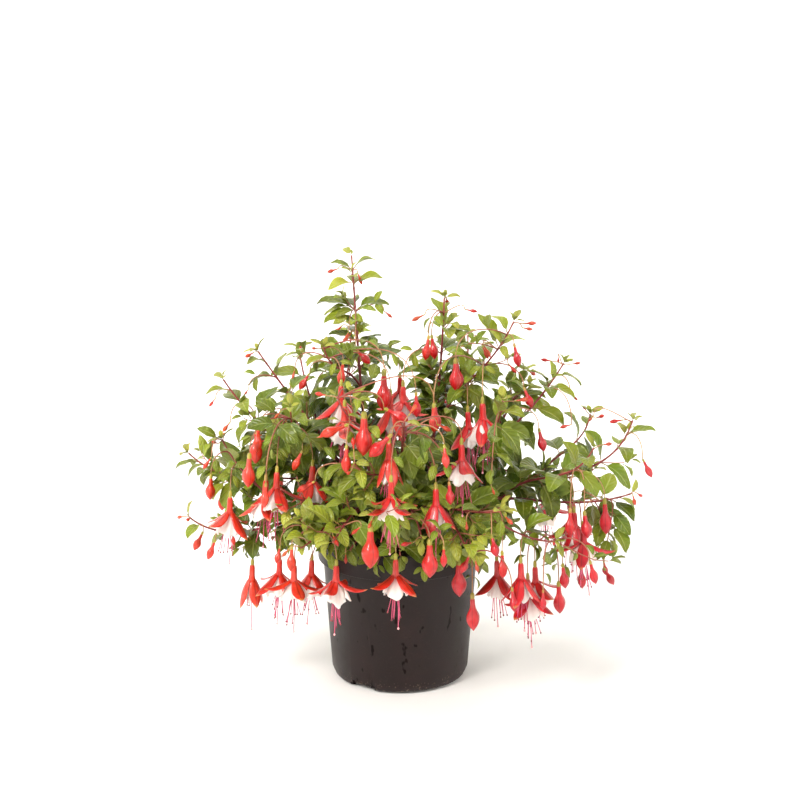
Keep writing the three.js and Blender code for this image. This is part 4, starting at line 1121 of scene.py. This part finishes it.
def add_foot(heap, x, y):
    heights = np.linspace(SOIL_TOP - FOOT_DEPTH, SOIL_TOP + SOIL_DOME + FOOT_HEIGHT, FOOT_RINGS)
    foot = np.array([[x + fresh.normal(0, 0.3), y + fresh.normal(0, 0.3), z] for z in heights])
    radii = np.linspace(WOOD_RADIUS, WOOD_RADIUS * 0.75, FOOT_RINGS) * fresh.uniform(0.94, 1.06, FOOT_RINGS)
    radii[-1] *= 0.6
    add_bar(heap, foot, radii, 12, age=WOOD)


def add_stems(heap, number):
    add_foot(heap, *CUTTINGS[number][0])
    for grown in of_cutting(number, shoots):
        add_shoot(heap, grown)
    for twig in of_cutting(number, sprigs):
        line = twig.curve.at(np.linspace(0, 1, 5))
        add_bar(heap, line, np.linspace(*TWIG_RADII, 5), 5, age=TWIG_AGE, tint=fresh.random())
    for low in of_cutting(number, low_shoots):
        line, age = low.curve.at(np.linspace(0, 1, 16)), np.linspace(0.7, TIP_AGE, 16)
        add_bar(heap, line, np.linspace(LOW_RADIUS, TIP_RADIUS, 16), 7, age=age, tint=fresh.random())
    for hung in of_cutting(number, flowers + more_flowers + buds):
        shares, stops = np.linspace(0, 1, 13), [0, max(0.01, hung.leafy), 1]
        start = LEAFY_STALK if hung.leafy else BARE_STALK_RADIUS
        radii = np.interp(shares, stops, [start, BARE_STALK_RADIUS, STALK_END])
        age = np.interp(shares, stops, [TIP_AGE, 0.16 if hung.leafy else 0.12, 0])
        age = age + fresh.uniform(0, 0.1)
        add_bar(heap, hung.stalk.at(shares), radii, 6, age=age, tint=fresh.random())


pieces_of_cuttings("stems_{}", stem, add_stems)

# %% [markdown]
# ## Buds
# A bud is a green ovary, a slender red tube and four sepals that are still shut. The sepals meet in
# shallow seams and end in a point. Small buds are the same shape and greener.

# %% Buds
# Down a bud's length, its radius as a share of the widest
BUD_OUTLINE = [
    (0, 0.14), (0.03, 0.27), (0.08, 0.35), (0.13, 0.33), (0.16, 0.28), (0.19, 0.36), (0.3, 0.38),
    (0.38, 0.43), (0.45, 0.57), (0.52, 0.79), (0.6, 0.96), (0.67, 1), (0.75, 0.94), (0.83, 0.77),
    (0.9, 0.52), (0.96, 0.24), (1, 0.04),
]
BUD_RADIUS_SHARE = 0.176
BUD_LOBES = 0.09


def add_bud(heap, bud):
    right = unit(np.cross(bud.down, [fresh.normal(), fresh.normal(), fresh.normal()]))
    share, width = (np.array(column) for column in zip(*BUD_OUTLINE))
    is_young = bud.length < SMALL_BUD
    reds = (fresh.uniform(0.116, 0.13),) * 2 if is_young else (TUBE, SEPAL)
    part = np.interp(share, [0, 0.13, 0.16, 0.19, 0.94, 1], [OVARY, OVARY, THROAT_GREEN, *reds, SEPAL_TIP])
    radii = width * BUD_RADIUS_SHARE * bud.length * (0.85 if is_young else fresh.uniform(0.94, 1.08))
    # Painted light: tint rising to the right darkens the buds there; it also varies at random and darkens
    # young buds
    tint = np.clip(0.5 + bud.top[0] / 300 + fresh.uniform(-0.3, 0.3) + 0.4 * is_young, 0, 1)
    axes = right, np.cross(bud.down, right), bud.down
    sides = 10 if is_young else 16
    add_round(heap, bud.top, *axes, share * bud.length, radii, sides, lobes=BUD_LOBES, part=part, tint=tint)


def add_buds(heap, number):
    for bud in of_cutting(number, buds):
        add_bud(heap, bud)


pieces_of_cuttings("buds_{}", red, add_buds)

# %% [markdown]
# ## Open flowers, the red parts
# The ovary narrows into the tube and the tube opens into four sepals. From its mouth hang eight threads
# with pollen heads, and the style, which is longer than all of them.

# %% Open flowers: ovary, tube, sepals, threads and style
THROAT = [
    (0, 0.5), (0.6, 1.1), (2, 1.6), (4, 1.8), (5.6, 1.75), (6.6, 1.6), (7.2, 2.2), (9, 2.7), (13, 2.85),
    (17, 2.95), (20, 3.3), (22.4, 4.0), (24, 4.3),
]
SEPAL_STOPS = [0, 0.06, 0.14, 0.25, 0.37, 0.49, 0.61, 0.73, 0.84, 0.93, 1]
SEPAL_HALF_WIDTHS = [2.4, 3.4, 4.3, 5.3, 6.1, 6.6, 6.4, 5.4, 3.8, 1.8, 0]
SHORT_SEPAL = 0.86
THREADS = 8
THREAD_RADIUS, STYLE_RADIUS = 0.38, 0.42


def add_sepal(heap, bloom, index, tint):
    """A sepal that varies from the plain one. Where it would reach into the pot it is plain and short."""
    pose = sepal_pose(bloom, index)
    freedom = between((0.2, 1), bloom.open)
    pose.rise += freedom * fresh.uniform(-16, 16)
    pose.bend += freedom * fresh.uniform(-24, 30)
    pose.length *= fresh.uniform(0.88, 1.02)
    shape = globe(10, len(SEPAL_STOPS) - 2, True)
    along = np.array(SEPAL_STOPS)[shape.ring]
    half_width = np.array(SEPAL_HALF_WIDTHS)[shape.ring]
    across = np.where(shape.is_pole, 0, np.cos(shape.turn))
    side = np.where(shape.is_pole, 0, np.sin(shape.turn))
    thickness = between((0.8, 0.35), along)
    curl = 1.5 * np.clip(along - 0.7, 0, 1) * fresh.uniform(-1, 3)
    spots = on_blade(pose, along * pose.length, across * half_width, side * thickness + curl)
    if is_in_pot(spots):
        pose = sepal_pose(bloom, index)
        pose.length *= SHORT_SEPAL
        spots = on_blade(pose, along * pose.length, across * half_width * SHORT_SEPAL, side * thickness)
    part = np.interp(along, [0, 0.85, 0.97], [SEPAL, 0.5, SEPAL_TIP])
    add_to(heap, shape, spots, along=along, across=across, side=side, part=part, tint=tint)


def add_thread(heap, bloom, turn, length, spread, radius):
    """A thread from the mouth of the tube. It gives back its last point."""
    shares = np.linspace(0, 1, 7)
    sway = fresh.uniform(-1.5, 1.5)
    distance = TUBE_END - 2 + shares * length
    out = 1.2 + (spread - 1.2) * shares**1.3 + sway * np.sin(shares * 3)
    line = on_flower(bloom, distance, out, turn + shares * fresh.uniform(-30, 30))
    add_bar(heap, line, radius, 5, part=THREAD, across=0.5, tint=0.5)
    return line[-1]


def add_red_parts(heap, bloom):
    # Painted light: tint rising to the right darkens the flowers there; it also varies at random
    tint = float(np.clip(0.5 + bloom.top[0] / 360 + fresh.uniform(-0.2, 0.2), 0, 1))
    distances, radii = (np.array(column) for column in zip(*THROAT))
    part = np.interp(distances, [0, 5.6, 6.6, 7.2, 24], [OVARY, OVARY, THROAT_GREEN, TUBE, SEPAL])
    axes = bloom.right, bloom.back, bloom.down
    add_round(heap, bloom.top, *axes, distances, radii, 16, lobes=0.05, part=part, tint=tint)
    for index in range(4):
        add_sepal(heap, bloom, index, tint)
    for index in range(THREADS):
        length = fresh.uniform(32, 45) * min(1, between((0.5, 2), bloom.open))
        turn, spread = 45 * index + fresh.uniform(-15, 15), fresh.uniform(2, 11)
        tip = add_thread(heap, bloom, turn, length, spread, THREAD_RADIUS)
        add_round(heap, tip, *axes, [-0.9, -0.5, 0.2, 0.8], [0.4, 0.75, 0.75, 0.3], 6, part=POLLEN_HEAD)
    turn, spread = fresh.uniform(0, 360), fresh.uniform(1, 4)
    tip = add_thread(heap, bloom, turn, STYLE_LENGTH - 4, spread, STYLE_RADIUS)
    add_round(heap, tip, *axes, [-1.6, -0.8, 0.2, 0.9], [0.4, 0.95, 1.05, 0.4], 8, part=STIGMA)


# The flower in front of the pot is turned a little further, and shows its skirt between two sepals
FRONT_FLOWER, FRONT_TURN = 4, math.radians(32)
front = flowers[FRONT_FLOWER]
front.right = front.right * math.cos(FRONT_TURN) - front.back * math.sin(FRONT_TURN)
front.back = np.cross(front.down, front.right)
for number, bloom in enumerate(flowers):
    heap = bmesh.new()
    add_red_parts(heap, bloom)
    bloom.number = f"{number + 1:02d}"
    piece(f"flower_{bloom.number}_red", heap, red, f"flower_{bloom.number}_calyx")


def add_more_reds(heap, number):
    for bloom in of_cutting(number, more_flowers):
        add_red_parts(heap, bloom)


pieces_of_cuttings("more_flowers_{}_red", red, add_more_reds)
print("red flower parts:", len(flowers + more_flowers))

# %% [markdown]
# ## Open flowers, the white skirt
# Four broad petals wrap round the threads, each over the next, with pleats down them and uneven ends.
# The double flowers of this plant have smaller folded petals packed inside.

# %% Open flowers: petals
ACROSS_STEPS, ALONG_STEPS = 9, 8
PETAL_THICKNESS = 0.22
SKIRT_RADIUS, OUTER_FOOT, INNER_FOOT = 13.5, 2.6, 1.8
sheet_bm = bmesh.new()
bmesh.ops.create_grid(sheet_bm, x_segments=ACROSS_STEPS, y_segments=ALONG_STEPS, size=1)
sheet_mesh, sheet_spots = smooth_mesh("sheet", sheet_bm)
sheet = SimpleNamespace(mesh=sheet_mesh, across=sheet_spots[:, 0], along=(sheet_spots[:, 1] + 1) / 2)


def add_petal(heap, bloom, turn, half_turn, length, radius, foot):
    """A petal round the flower's axis, narrow at its foot and pleated towards its uneven end."""
    across, along = sheet.across, sheet.along
    narrow = 0.45 + 0.55 * np.sin(np.clip(along * 1.25, 0, 1) * math.pi / 2)
    uneven = np.sin(across * fresh.uniform(4, 8) + fresh.uniform(0, 6))
    edge = 1 - 0.26 * np.abs(across) ** 2.2 + 0.07 * uneven
    distance = TUBE_END - 1.5 + length * along * edge
    ends = foot, radius
    flare = np.interp(along, [0, 0.3, 0.6, 1], [foot, between(ends, 0.5), between(ends, 0.8), radius])
    pleat = 0.14 * radius * along**1.5 * np.sin(across * fresh.uniform(5, 9) + fresh.uniform(0, 6))
    lap = 0.9 * across * along
    angle = turn + half_turn * narrow * across
    spots = on_flower(bloom, distance, flare + pleat + lap, angle)
    add_to(heap, sheet, spots, along=along, across=across, tint=fresh.random())


def add_skirt(heap, bloom):
    radius = SKIRT_RADIUS * between((0.42, 1), bloom.open)
    for index in range(4):
        turn, length = 45 + 90 * index + fresh.uniform(-10, 10), COROLLA_LENGTH * fresh.uniform(0.8, 1.02)
        half_turn, reach = fresh.uniform(46, 60), radius * fresh.uniform(0.8, 1.08)
        add_petal(heap, bloom, turn, half_turn, length, reach, OUTER_FOOT)
    for index in range(4):
        turn, length = 90 * index + fresh.uniform(-20, 20), COROLLA_LENGTH * fresh.uniform(0.66, 0.86)
        add_petal(heap, bloom, turn, 50, length, radius * fresh.uniform(0.5, 0.7), INNER_FOOT)


def add_skirts(heap, blooms):
    for bloom in blooms:
        add_skirt(heap, bloom)
    bmesh.ops.solidify(heap, geom=heap.faces[:], thickness=PETAL_THICKNESS * MM)


def add_more_skirts(heap, number):
    add_skirts(heap, of_cutting(number, more_flowers))


for bloom in flowers:
    heap = bmesh.new()
    add_skirts(heap, [bloom])
    piece(f"flower_{bloom.number}_white", heap, petal, f"flower_{bloom.number}_corolla")
pieces_of_cuttings("more_flowers_{}_white", petal, add_more_skirts)
print("white skirts:", len(flowers + more_flowers))

# %% [markdown]
# ## The pot
# A nursery pot is polypropylene, injection moulded with recycled black. It is thin, with a stepped rim
# band and a foot ring. The foot is cut away at three places over a drain hole. It is a lathe shape, so
# its outline is spun, its edges are rounded, and the cuts are taken out of it.

# %% Pot
POT_OUTLINE = [
    (0, 0), (13, 0), (14, 5), (57, 5), (58, 0), (61, 0), (67.36, 2.64), (70, 9), (78.5, 124), (83.5, 124),
    (84, 148), (85.5, 148), (85.5, 150), (82.2, 150), (82.2, 125.8), (76.7, 125.8), (68.2, 12), (62.2, 6.8),
    (0, 6.8),
]
POT_STEPS = 96
EDGE_ROUND, BAND_ROUND = 0.45, 1.1
BAND_FOOT, BAND_INSIDE, CORNER_FROM = 124, 83, 25
# The cuts: their angles round the foot, the corners of a notch's lower and upper part, and a drain hole
NOTCH_TURNS = (-124.5, -4.5, 115.5)
NOTCH_BOX, UPPER_BOX = ((55, -15, -4), (90, 15, 5)), ((65.5, -11, 4), (90, 11, 9))
HOLE_SPOT, HOLE_RADIUS, HOLE_DEPTH = (44, 0, 5), 5, 12


def spun(outline, steps):
    """A lathe body: corners one after another, joined and spun round the upright axis."""
    bm = bmesh.new()
    radius, height = outline[0]
    corners = bmesh.ops.create_vert(bm, co=(radius * MM, 0, height * MM))["vert"]
    edges = []
    for radius, height in outline[1:]:
        grown = bmesh.ops.extrude_vert_indiv(bm, verts=corners[-1:])
        grown["verts"][0].co = (radius * MM, 0, height * MM)
        corners += grown["verts"]
        edges += grown["edges"]
    bmesh.ops.spin(
        bm, geom=corners + edges, cent=(0, 0, 0), axis=(0, 0, 1), angle=math.tau, steps=steps, use_merge=True
    )
    bmesh.ops.remove_doubles(bm, verts=bm.verts[:], dist=1e-6)
    bmesh.ops.recalc_face_normals(bm, faces=bm.faces[:])
    for face in bm.faces:
        face.smooth = True
    return bm


def sharpen(bm, degrees=30):
    for edge in bm.edges:
        edge.smooth = len(edge.link_faces) == 2 and edge.calc_face_angle() < math.radians(degrees)


def as_object(name, bm):
    mesh = bpy.data.meshes.new(name)
    bm.to_mesh(mesh)
    bm.free()
    made = bpy.data.objects.new(name, mesh)
    bpy.context.scene.collection.objects.link(made)
    return made


def box_between(bm, low, high, turn):
    """A cutter with these corners, turned about the pot's axis."""
    low, high = Vector(low) * MM, Vector(high) * MM
    size = Matrix.Diagonal((*(high - low), 1))
    placed = Matrix.Rotation(math.radians(turn), 4, "Z") @ Matrix.Translation((low + high) / 2)
    bmesh.ops.create_cube(bm, size=1, matrix=placed @ size)


pot_bm = spun(POT_OUTLINE, POT_STEPS)
band_edge = [e for e in pot_bm.edges if all(abs(v.co.z - BAND_FOOT * MM) < 1e-5 for v in e.verts)]
band_edge = [e for e in band_edge if all(v.co.xy.length > BAND_INSIDE * MM for v in e.verts)]
rounded = {"profile": 0.5, "affect": "EDGES", "material": -1}
bmesh.ops.bevel(pot_bm, geom=band_edge, offset=BAND_ROUND * MM, segments=3, **rounded)
corners = [e for e in pot_bm.edges if e.calc_face_angle(0) > math.radians(CORNER_FROM)]
bmesh.ops.bevel(pot_bm, geom=corners, offset=EDGE_ROUND * MM, segments=2, clamp_overlap=True, **rounded)
pot = as_object("pot_plastic", pot_bm)
notch_bm, upper_bm, hole_bm = bmesh.new(), bmesh.new(), bmesh.new()
for turn in NOTCH_TURNS:
    box_between(notch_bm, *NOTCH_BOX, turn)
    box_between(upper_bm, *UPPER_BOX, turn)
    place = Matrix.Rotation(math.radians(turn), 4, "Z") @ Matrix.Translation(Vector(HOLE_SPOT) * MM)
    hole = {"radius1": HOLE_RADIUS * MM, "radius2": HOLE_RADIUS * MM, "depth": HOLE_DEPTH * MM}
    bmesh.ops.create_cone(hole_bm, cap_ends=True, segments=24, matrix=place, **hole)
cutter_bms = {"notches": notch_bm, "upper_notches": upper_bm, "drain_holes": hole_bm}
cutters = [as_object(name, bm) for name, bm in cutter_bms.items()]
for cutter in cutters:
    cut = pot.modifiers.new(cutter.name, "BOOLEAN")
    cut.object, cut.operation, cut.solver = cutter, "DIFFERENCE", "EXACT"
bpy.context.view_layer.update()
cut_mesh = bpy.data.meshes.new_from_object(pot.evaluated_get(bpy.context.evaluated_depsgraph_get()))
for thing in (pot, *cutters):
    bpy.data.objects.remove(thing)
pot_bm = bmesh.new()
pot_bm.from_mesh(cut_mesh)
sharpen(pot_bm)

# %% [markdown]
# The plastic is near black and a little warm. It is satin, with a fine grain from the mould, dull where
# it has been handled, and dusty with soil near the foot.

# %% Pot finish
plastic = new_material("pot_plastic")
place = add_node(plastic, "TexCoord")
height = add_node(plastic, "SeparateXYZ", {0: place})
grain = add_node(plastic, "TexNoise", {"Vector": place, "Scale": 900.0, "Detail": 4.0})
clouds = add_node(plastic, "TexNoise", {"Vector": place, "Scale": 22.0, "Detail": 5.0, "Roughness": 0.62})
blacks = add_node(
    plastic, "ValToRGB", {"Fac": clouds}, [(0.3, "#180c0b"), (0.55, "#1d100f"), (0.8, "#261716")]
)
low_down = add_node(plastic, "MapRange", {0: height, 1: 0.0, 2: 0.016, 3: 0.9, 4: 0.02})
specks = add_node(plastic, "TexNoise", {"Vector": place, "Scale": 480.0, "Detail": 2.0})
speck_share = add_node(plastic, "ValToRGB", {"Fac": specks}, [(0.62, "#000000"), (0.68, "#e0e0e0")])
dust = add_node(plastic, "Math", {0: low_down, 1: speck_share}, operation="MULTIPLY")
drawn_out = {"Vector": place, "Scale": (130.0, 130.0, 60.0)}
stretched = add_node(plastic, "Mapping", drawn_out, vector_type="POINT")
scuffs = add_node(plastic, "TexNoise", {"Vector": stretched, "Scale": 1.0, "Detail": 2.0})
scuff_share = add_node(plastic, "MapRange", {0: scuffs, 1: 0.67, 2: 0.71, 4: 0.8})
gloss = add_node(plastic, "MapRange", {0: scuffs, 1: 0.67, 2: 0.71, 3: 0.28, 4: 0.08})
scuffed = add_node(
    plastic, "Mix", {0: scuff_share, FIRST_COLOUR: blacks, SECOND_COLOUR: linear("#0c0606")},
    data_type="RGBA",
)
plastic_colour = add_node(
    plastic, "Mix", {0: dust, FIRST_COLOUR: scuffed, SECOND_COLOUR: linear("#9a8672")}, data_type="RGBA"
)
sheen = add_node(plastic, "MapRange", {0: clouds, 1: 0.3, 2: 0.7, 3: 0.36, 4: 0.52})
pot_bump = add_node(plastic, "Bump", {"Height": grain, "Strength": 0.2, "Distance": 0.0003})
finish_with(
    plastic, base_color=plastic_colour, roughness=sheen, ior=1.49, specular_ior_level=gloss, normal=pot_bump
)
pot = piece("pot_shell", pot_bm, plastic, "pot")
print("pot faces:", len(pot.data.polygons))

# %% [markdown]
# ## Potting soil
# Peat with fine bark and a few white grains of perlite, a little domed and loose on top. The body is
# spun, its top is roughened, and crumbs lie on it.

# %% Soil
SOIL_RADIUS = 81.85
CRUMBS, PERLITE_EVERY = 320, 12
CRUMB_REACH, CRUMB_LIE = 78, 136.6
SOIL_EDGE, SOIL_CROWN, ROUGH_FROM = 136.2, 4.4, 0.13


def dome(radius):
    """How far the soil rises above its edge."""
    return SOIL_CROWN * (1 - (radius / SOIL_RADIUS) ** 2)


top_radii = np.linspace(SOIL_RADIUS, 0, 24)
soil_outline = [(0, 7.15), (60.5, 7.15), (67.5, 14.15), (76, 126.15), (SOIL_RADIUS, 126.15)]
soil_outline += [(radius, SOIL_EDGE + dome(radius)) for radius in top_radii]
soil_bm = spun(soil_outline, POT_STEPS)
for vert in soil_bm.verts:
    out = math.hypot(vert.co.x, vert.co.y) / MM
    if vert.co.z > ROUGH_FROM:
        rough = noise.noise(vert.co * 140) * 1.6 + noise.noise(vert.co * 420) * 0.9
        vert.co.z += rough * MM * min(1, max(0, (SOIL_RADIUS - out) / 4) + 0.2)
grain_kind = soil_bm.verts.layers.float.new("part")
litter = np.random.default_rng(3)
for index in range(CRUMBS):
    radius, turn = CRUMB_REACH * math.sqrt(litter.random()), litter.uniform(0, math.tau)
    size = litter.uniform(0.8, 2.4) * MM
    spot = Vector((radius * math.cos(turn), radius * math.sin(turn), CRUMB_LIE + dome(radius)))
    place = Matrix.Translation(spot * MM)
    squash = Matrix.Diagonal((size * litter.uniform(0.8, 1.8), size, size * litter.uniform(0.5, 0.9), 1))
    spin = Matrix.Rotation(litter.uniform(0, math.tau), 4, "Z")
    tilt = Matrix.Rotation(litter.uniform(-0.5, 0.5), 4, "X")
    lie = place @ (spin @ tilt) @ squash
    crumb = bmesh.ops.create_icosphere(soil_bm, subdivisions=1, radius=1, matrix=lie)
    for vert in crumb["verts"]:
        vert[grain_kind] = 1.0 if index % PERLITE_EVERY == 0 else 0.0

earth = new_material("potting_soil")
place = add_node(earth, "TexCoord")
kind = add_node(earth, "Attribute", attribute_name="part")
clods = add_node(earth, "TexNoise", {"Vector": place, "Scale": 260.0, "Detail": 6.0, "Roughness": 0.7})
browns = add_node(earth, "ValToRGB", {"Fac": clods}, [(0.3, "#1d130c"), (0.5, "#3b281b"), (0.72, "#5c4331")])
earth_colour = add_node(
    earth, "Mix", {0: kind, FIRST_COLOUR: browns, SECOND_COLOUR: linear("#dcd7cb")}, data_type="RGBA"
)
earth_bump = add_node(earth, "Bump", {"Height": clods, "Strength": 0.8, "Distance": 0.0012})
finish_with(earth, base_color=earth_colour, roughness=0.95, normal=earth_bump)
soil = piece("soil_top", soil_bm, earth, "soil")
print("soil faces:", len(soil.data.polygons))

# %% [markdown]
# ## The studio
# A pale sweep behind and under the pot, a large soft light high on the left, and a white surround. The
# camera looks a little down, as in the photograph.

# %% Sweep, lights and camera
FLOOR_RADIUS, SWEEP_CURVE, WALL_TOP = 1700, 900, 1900
CAMERA_LENS, CAMERA_TILT, PLANT_MIDDLE = 73.8, 12.8, (0, 0, 0.22)
bend = np.linspace(0, math.pi / 2, 12)
sweep_outline = [(0, 0)] + [
    (FLOOR_RADIUS + SWEEP_CURVE * math.sin(a), SWEEP_CURVE * (1 - math.cos(a))) for a in bend
]
sweep_outline.append((FLOOR_RADIUS + SWEEP_CURVE, WALL_TOP))
sweep = as_object("sweep", spun(sweep_outline, 64))
paper = new_material("paper")
finish_with(paper, base_color=linear("#f6f5f3"), roughness=0.9)
sweep.data.materials.append(paper)

world = bpy.data.worlds.new("surround")
world.use_nodes = True
world.node_tree.nodes["Background"].inputs["Color"].default_value = (1, 1, 1, 1)
world.node_tree.nodes["Background"].inputs["Strength"].default_value = 0.62
bpy.context.scene.world = world


def add_light(name, place, towards, size, watts):
    lamp = bpy.data.lights.new(name, "AREA")
    lamp.shape, lamp.size, lamp.energy = "DISK", size, watts
    lamp.color = (1, 0.97, 0.93)
    made = bpy.data.objects.new(name, lamp)
    made.location = place
    made.rotation_euler = (Vector(towards) - Vector(place)).to_track_quat("-Z", "Y").to_euler()
    bpy.context.scene.collection.objects.link(made)


add_light("high_left", (-1.1, -1.6, 1.8), PLANT_MIDDLE, 0.7, 56)
add_light("low_right", (1.7, -1.2, 0.9), PLANT_MIDDLE, 1.2, 9)
add_light("backdrop", (0, 0.9, 2.3), (0, 2.8, 0.8), 1.6, 60)

camera = bpy.data.objects.new("camera", bpy.data.cameras.new("camera"))
camera.data.lens, camera.data.sensor_width = CAMERA_LENS, 36
camera.location = CAMERA_SPOT * MM
camera.rotation_euler = (math.radians(90 - CAMERA_TILT), 0, 0)
bpy.context.scene.collection.objects.link(camera)
bpy.context.scene.camera = camera
bpy.context.scene.view_settings.view_transform = "Standard"
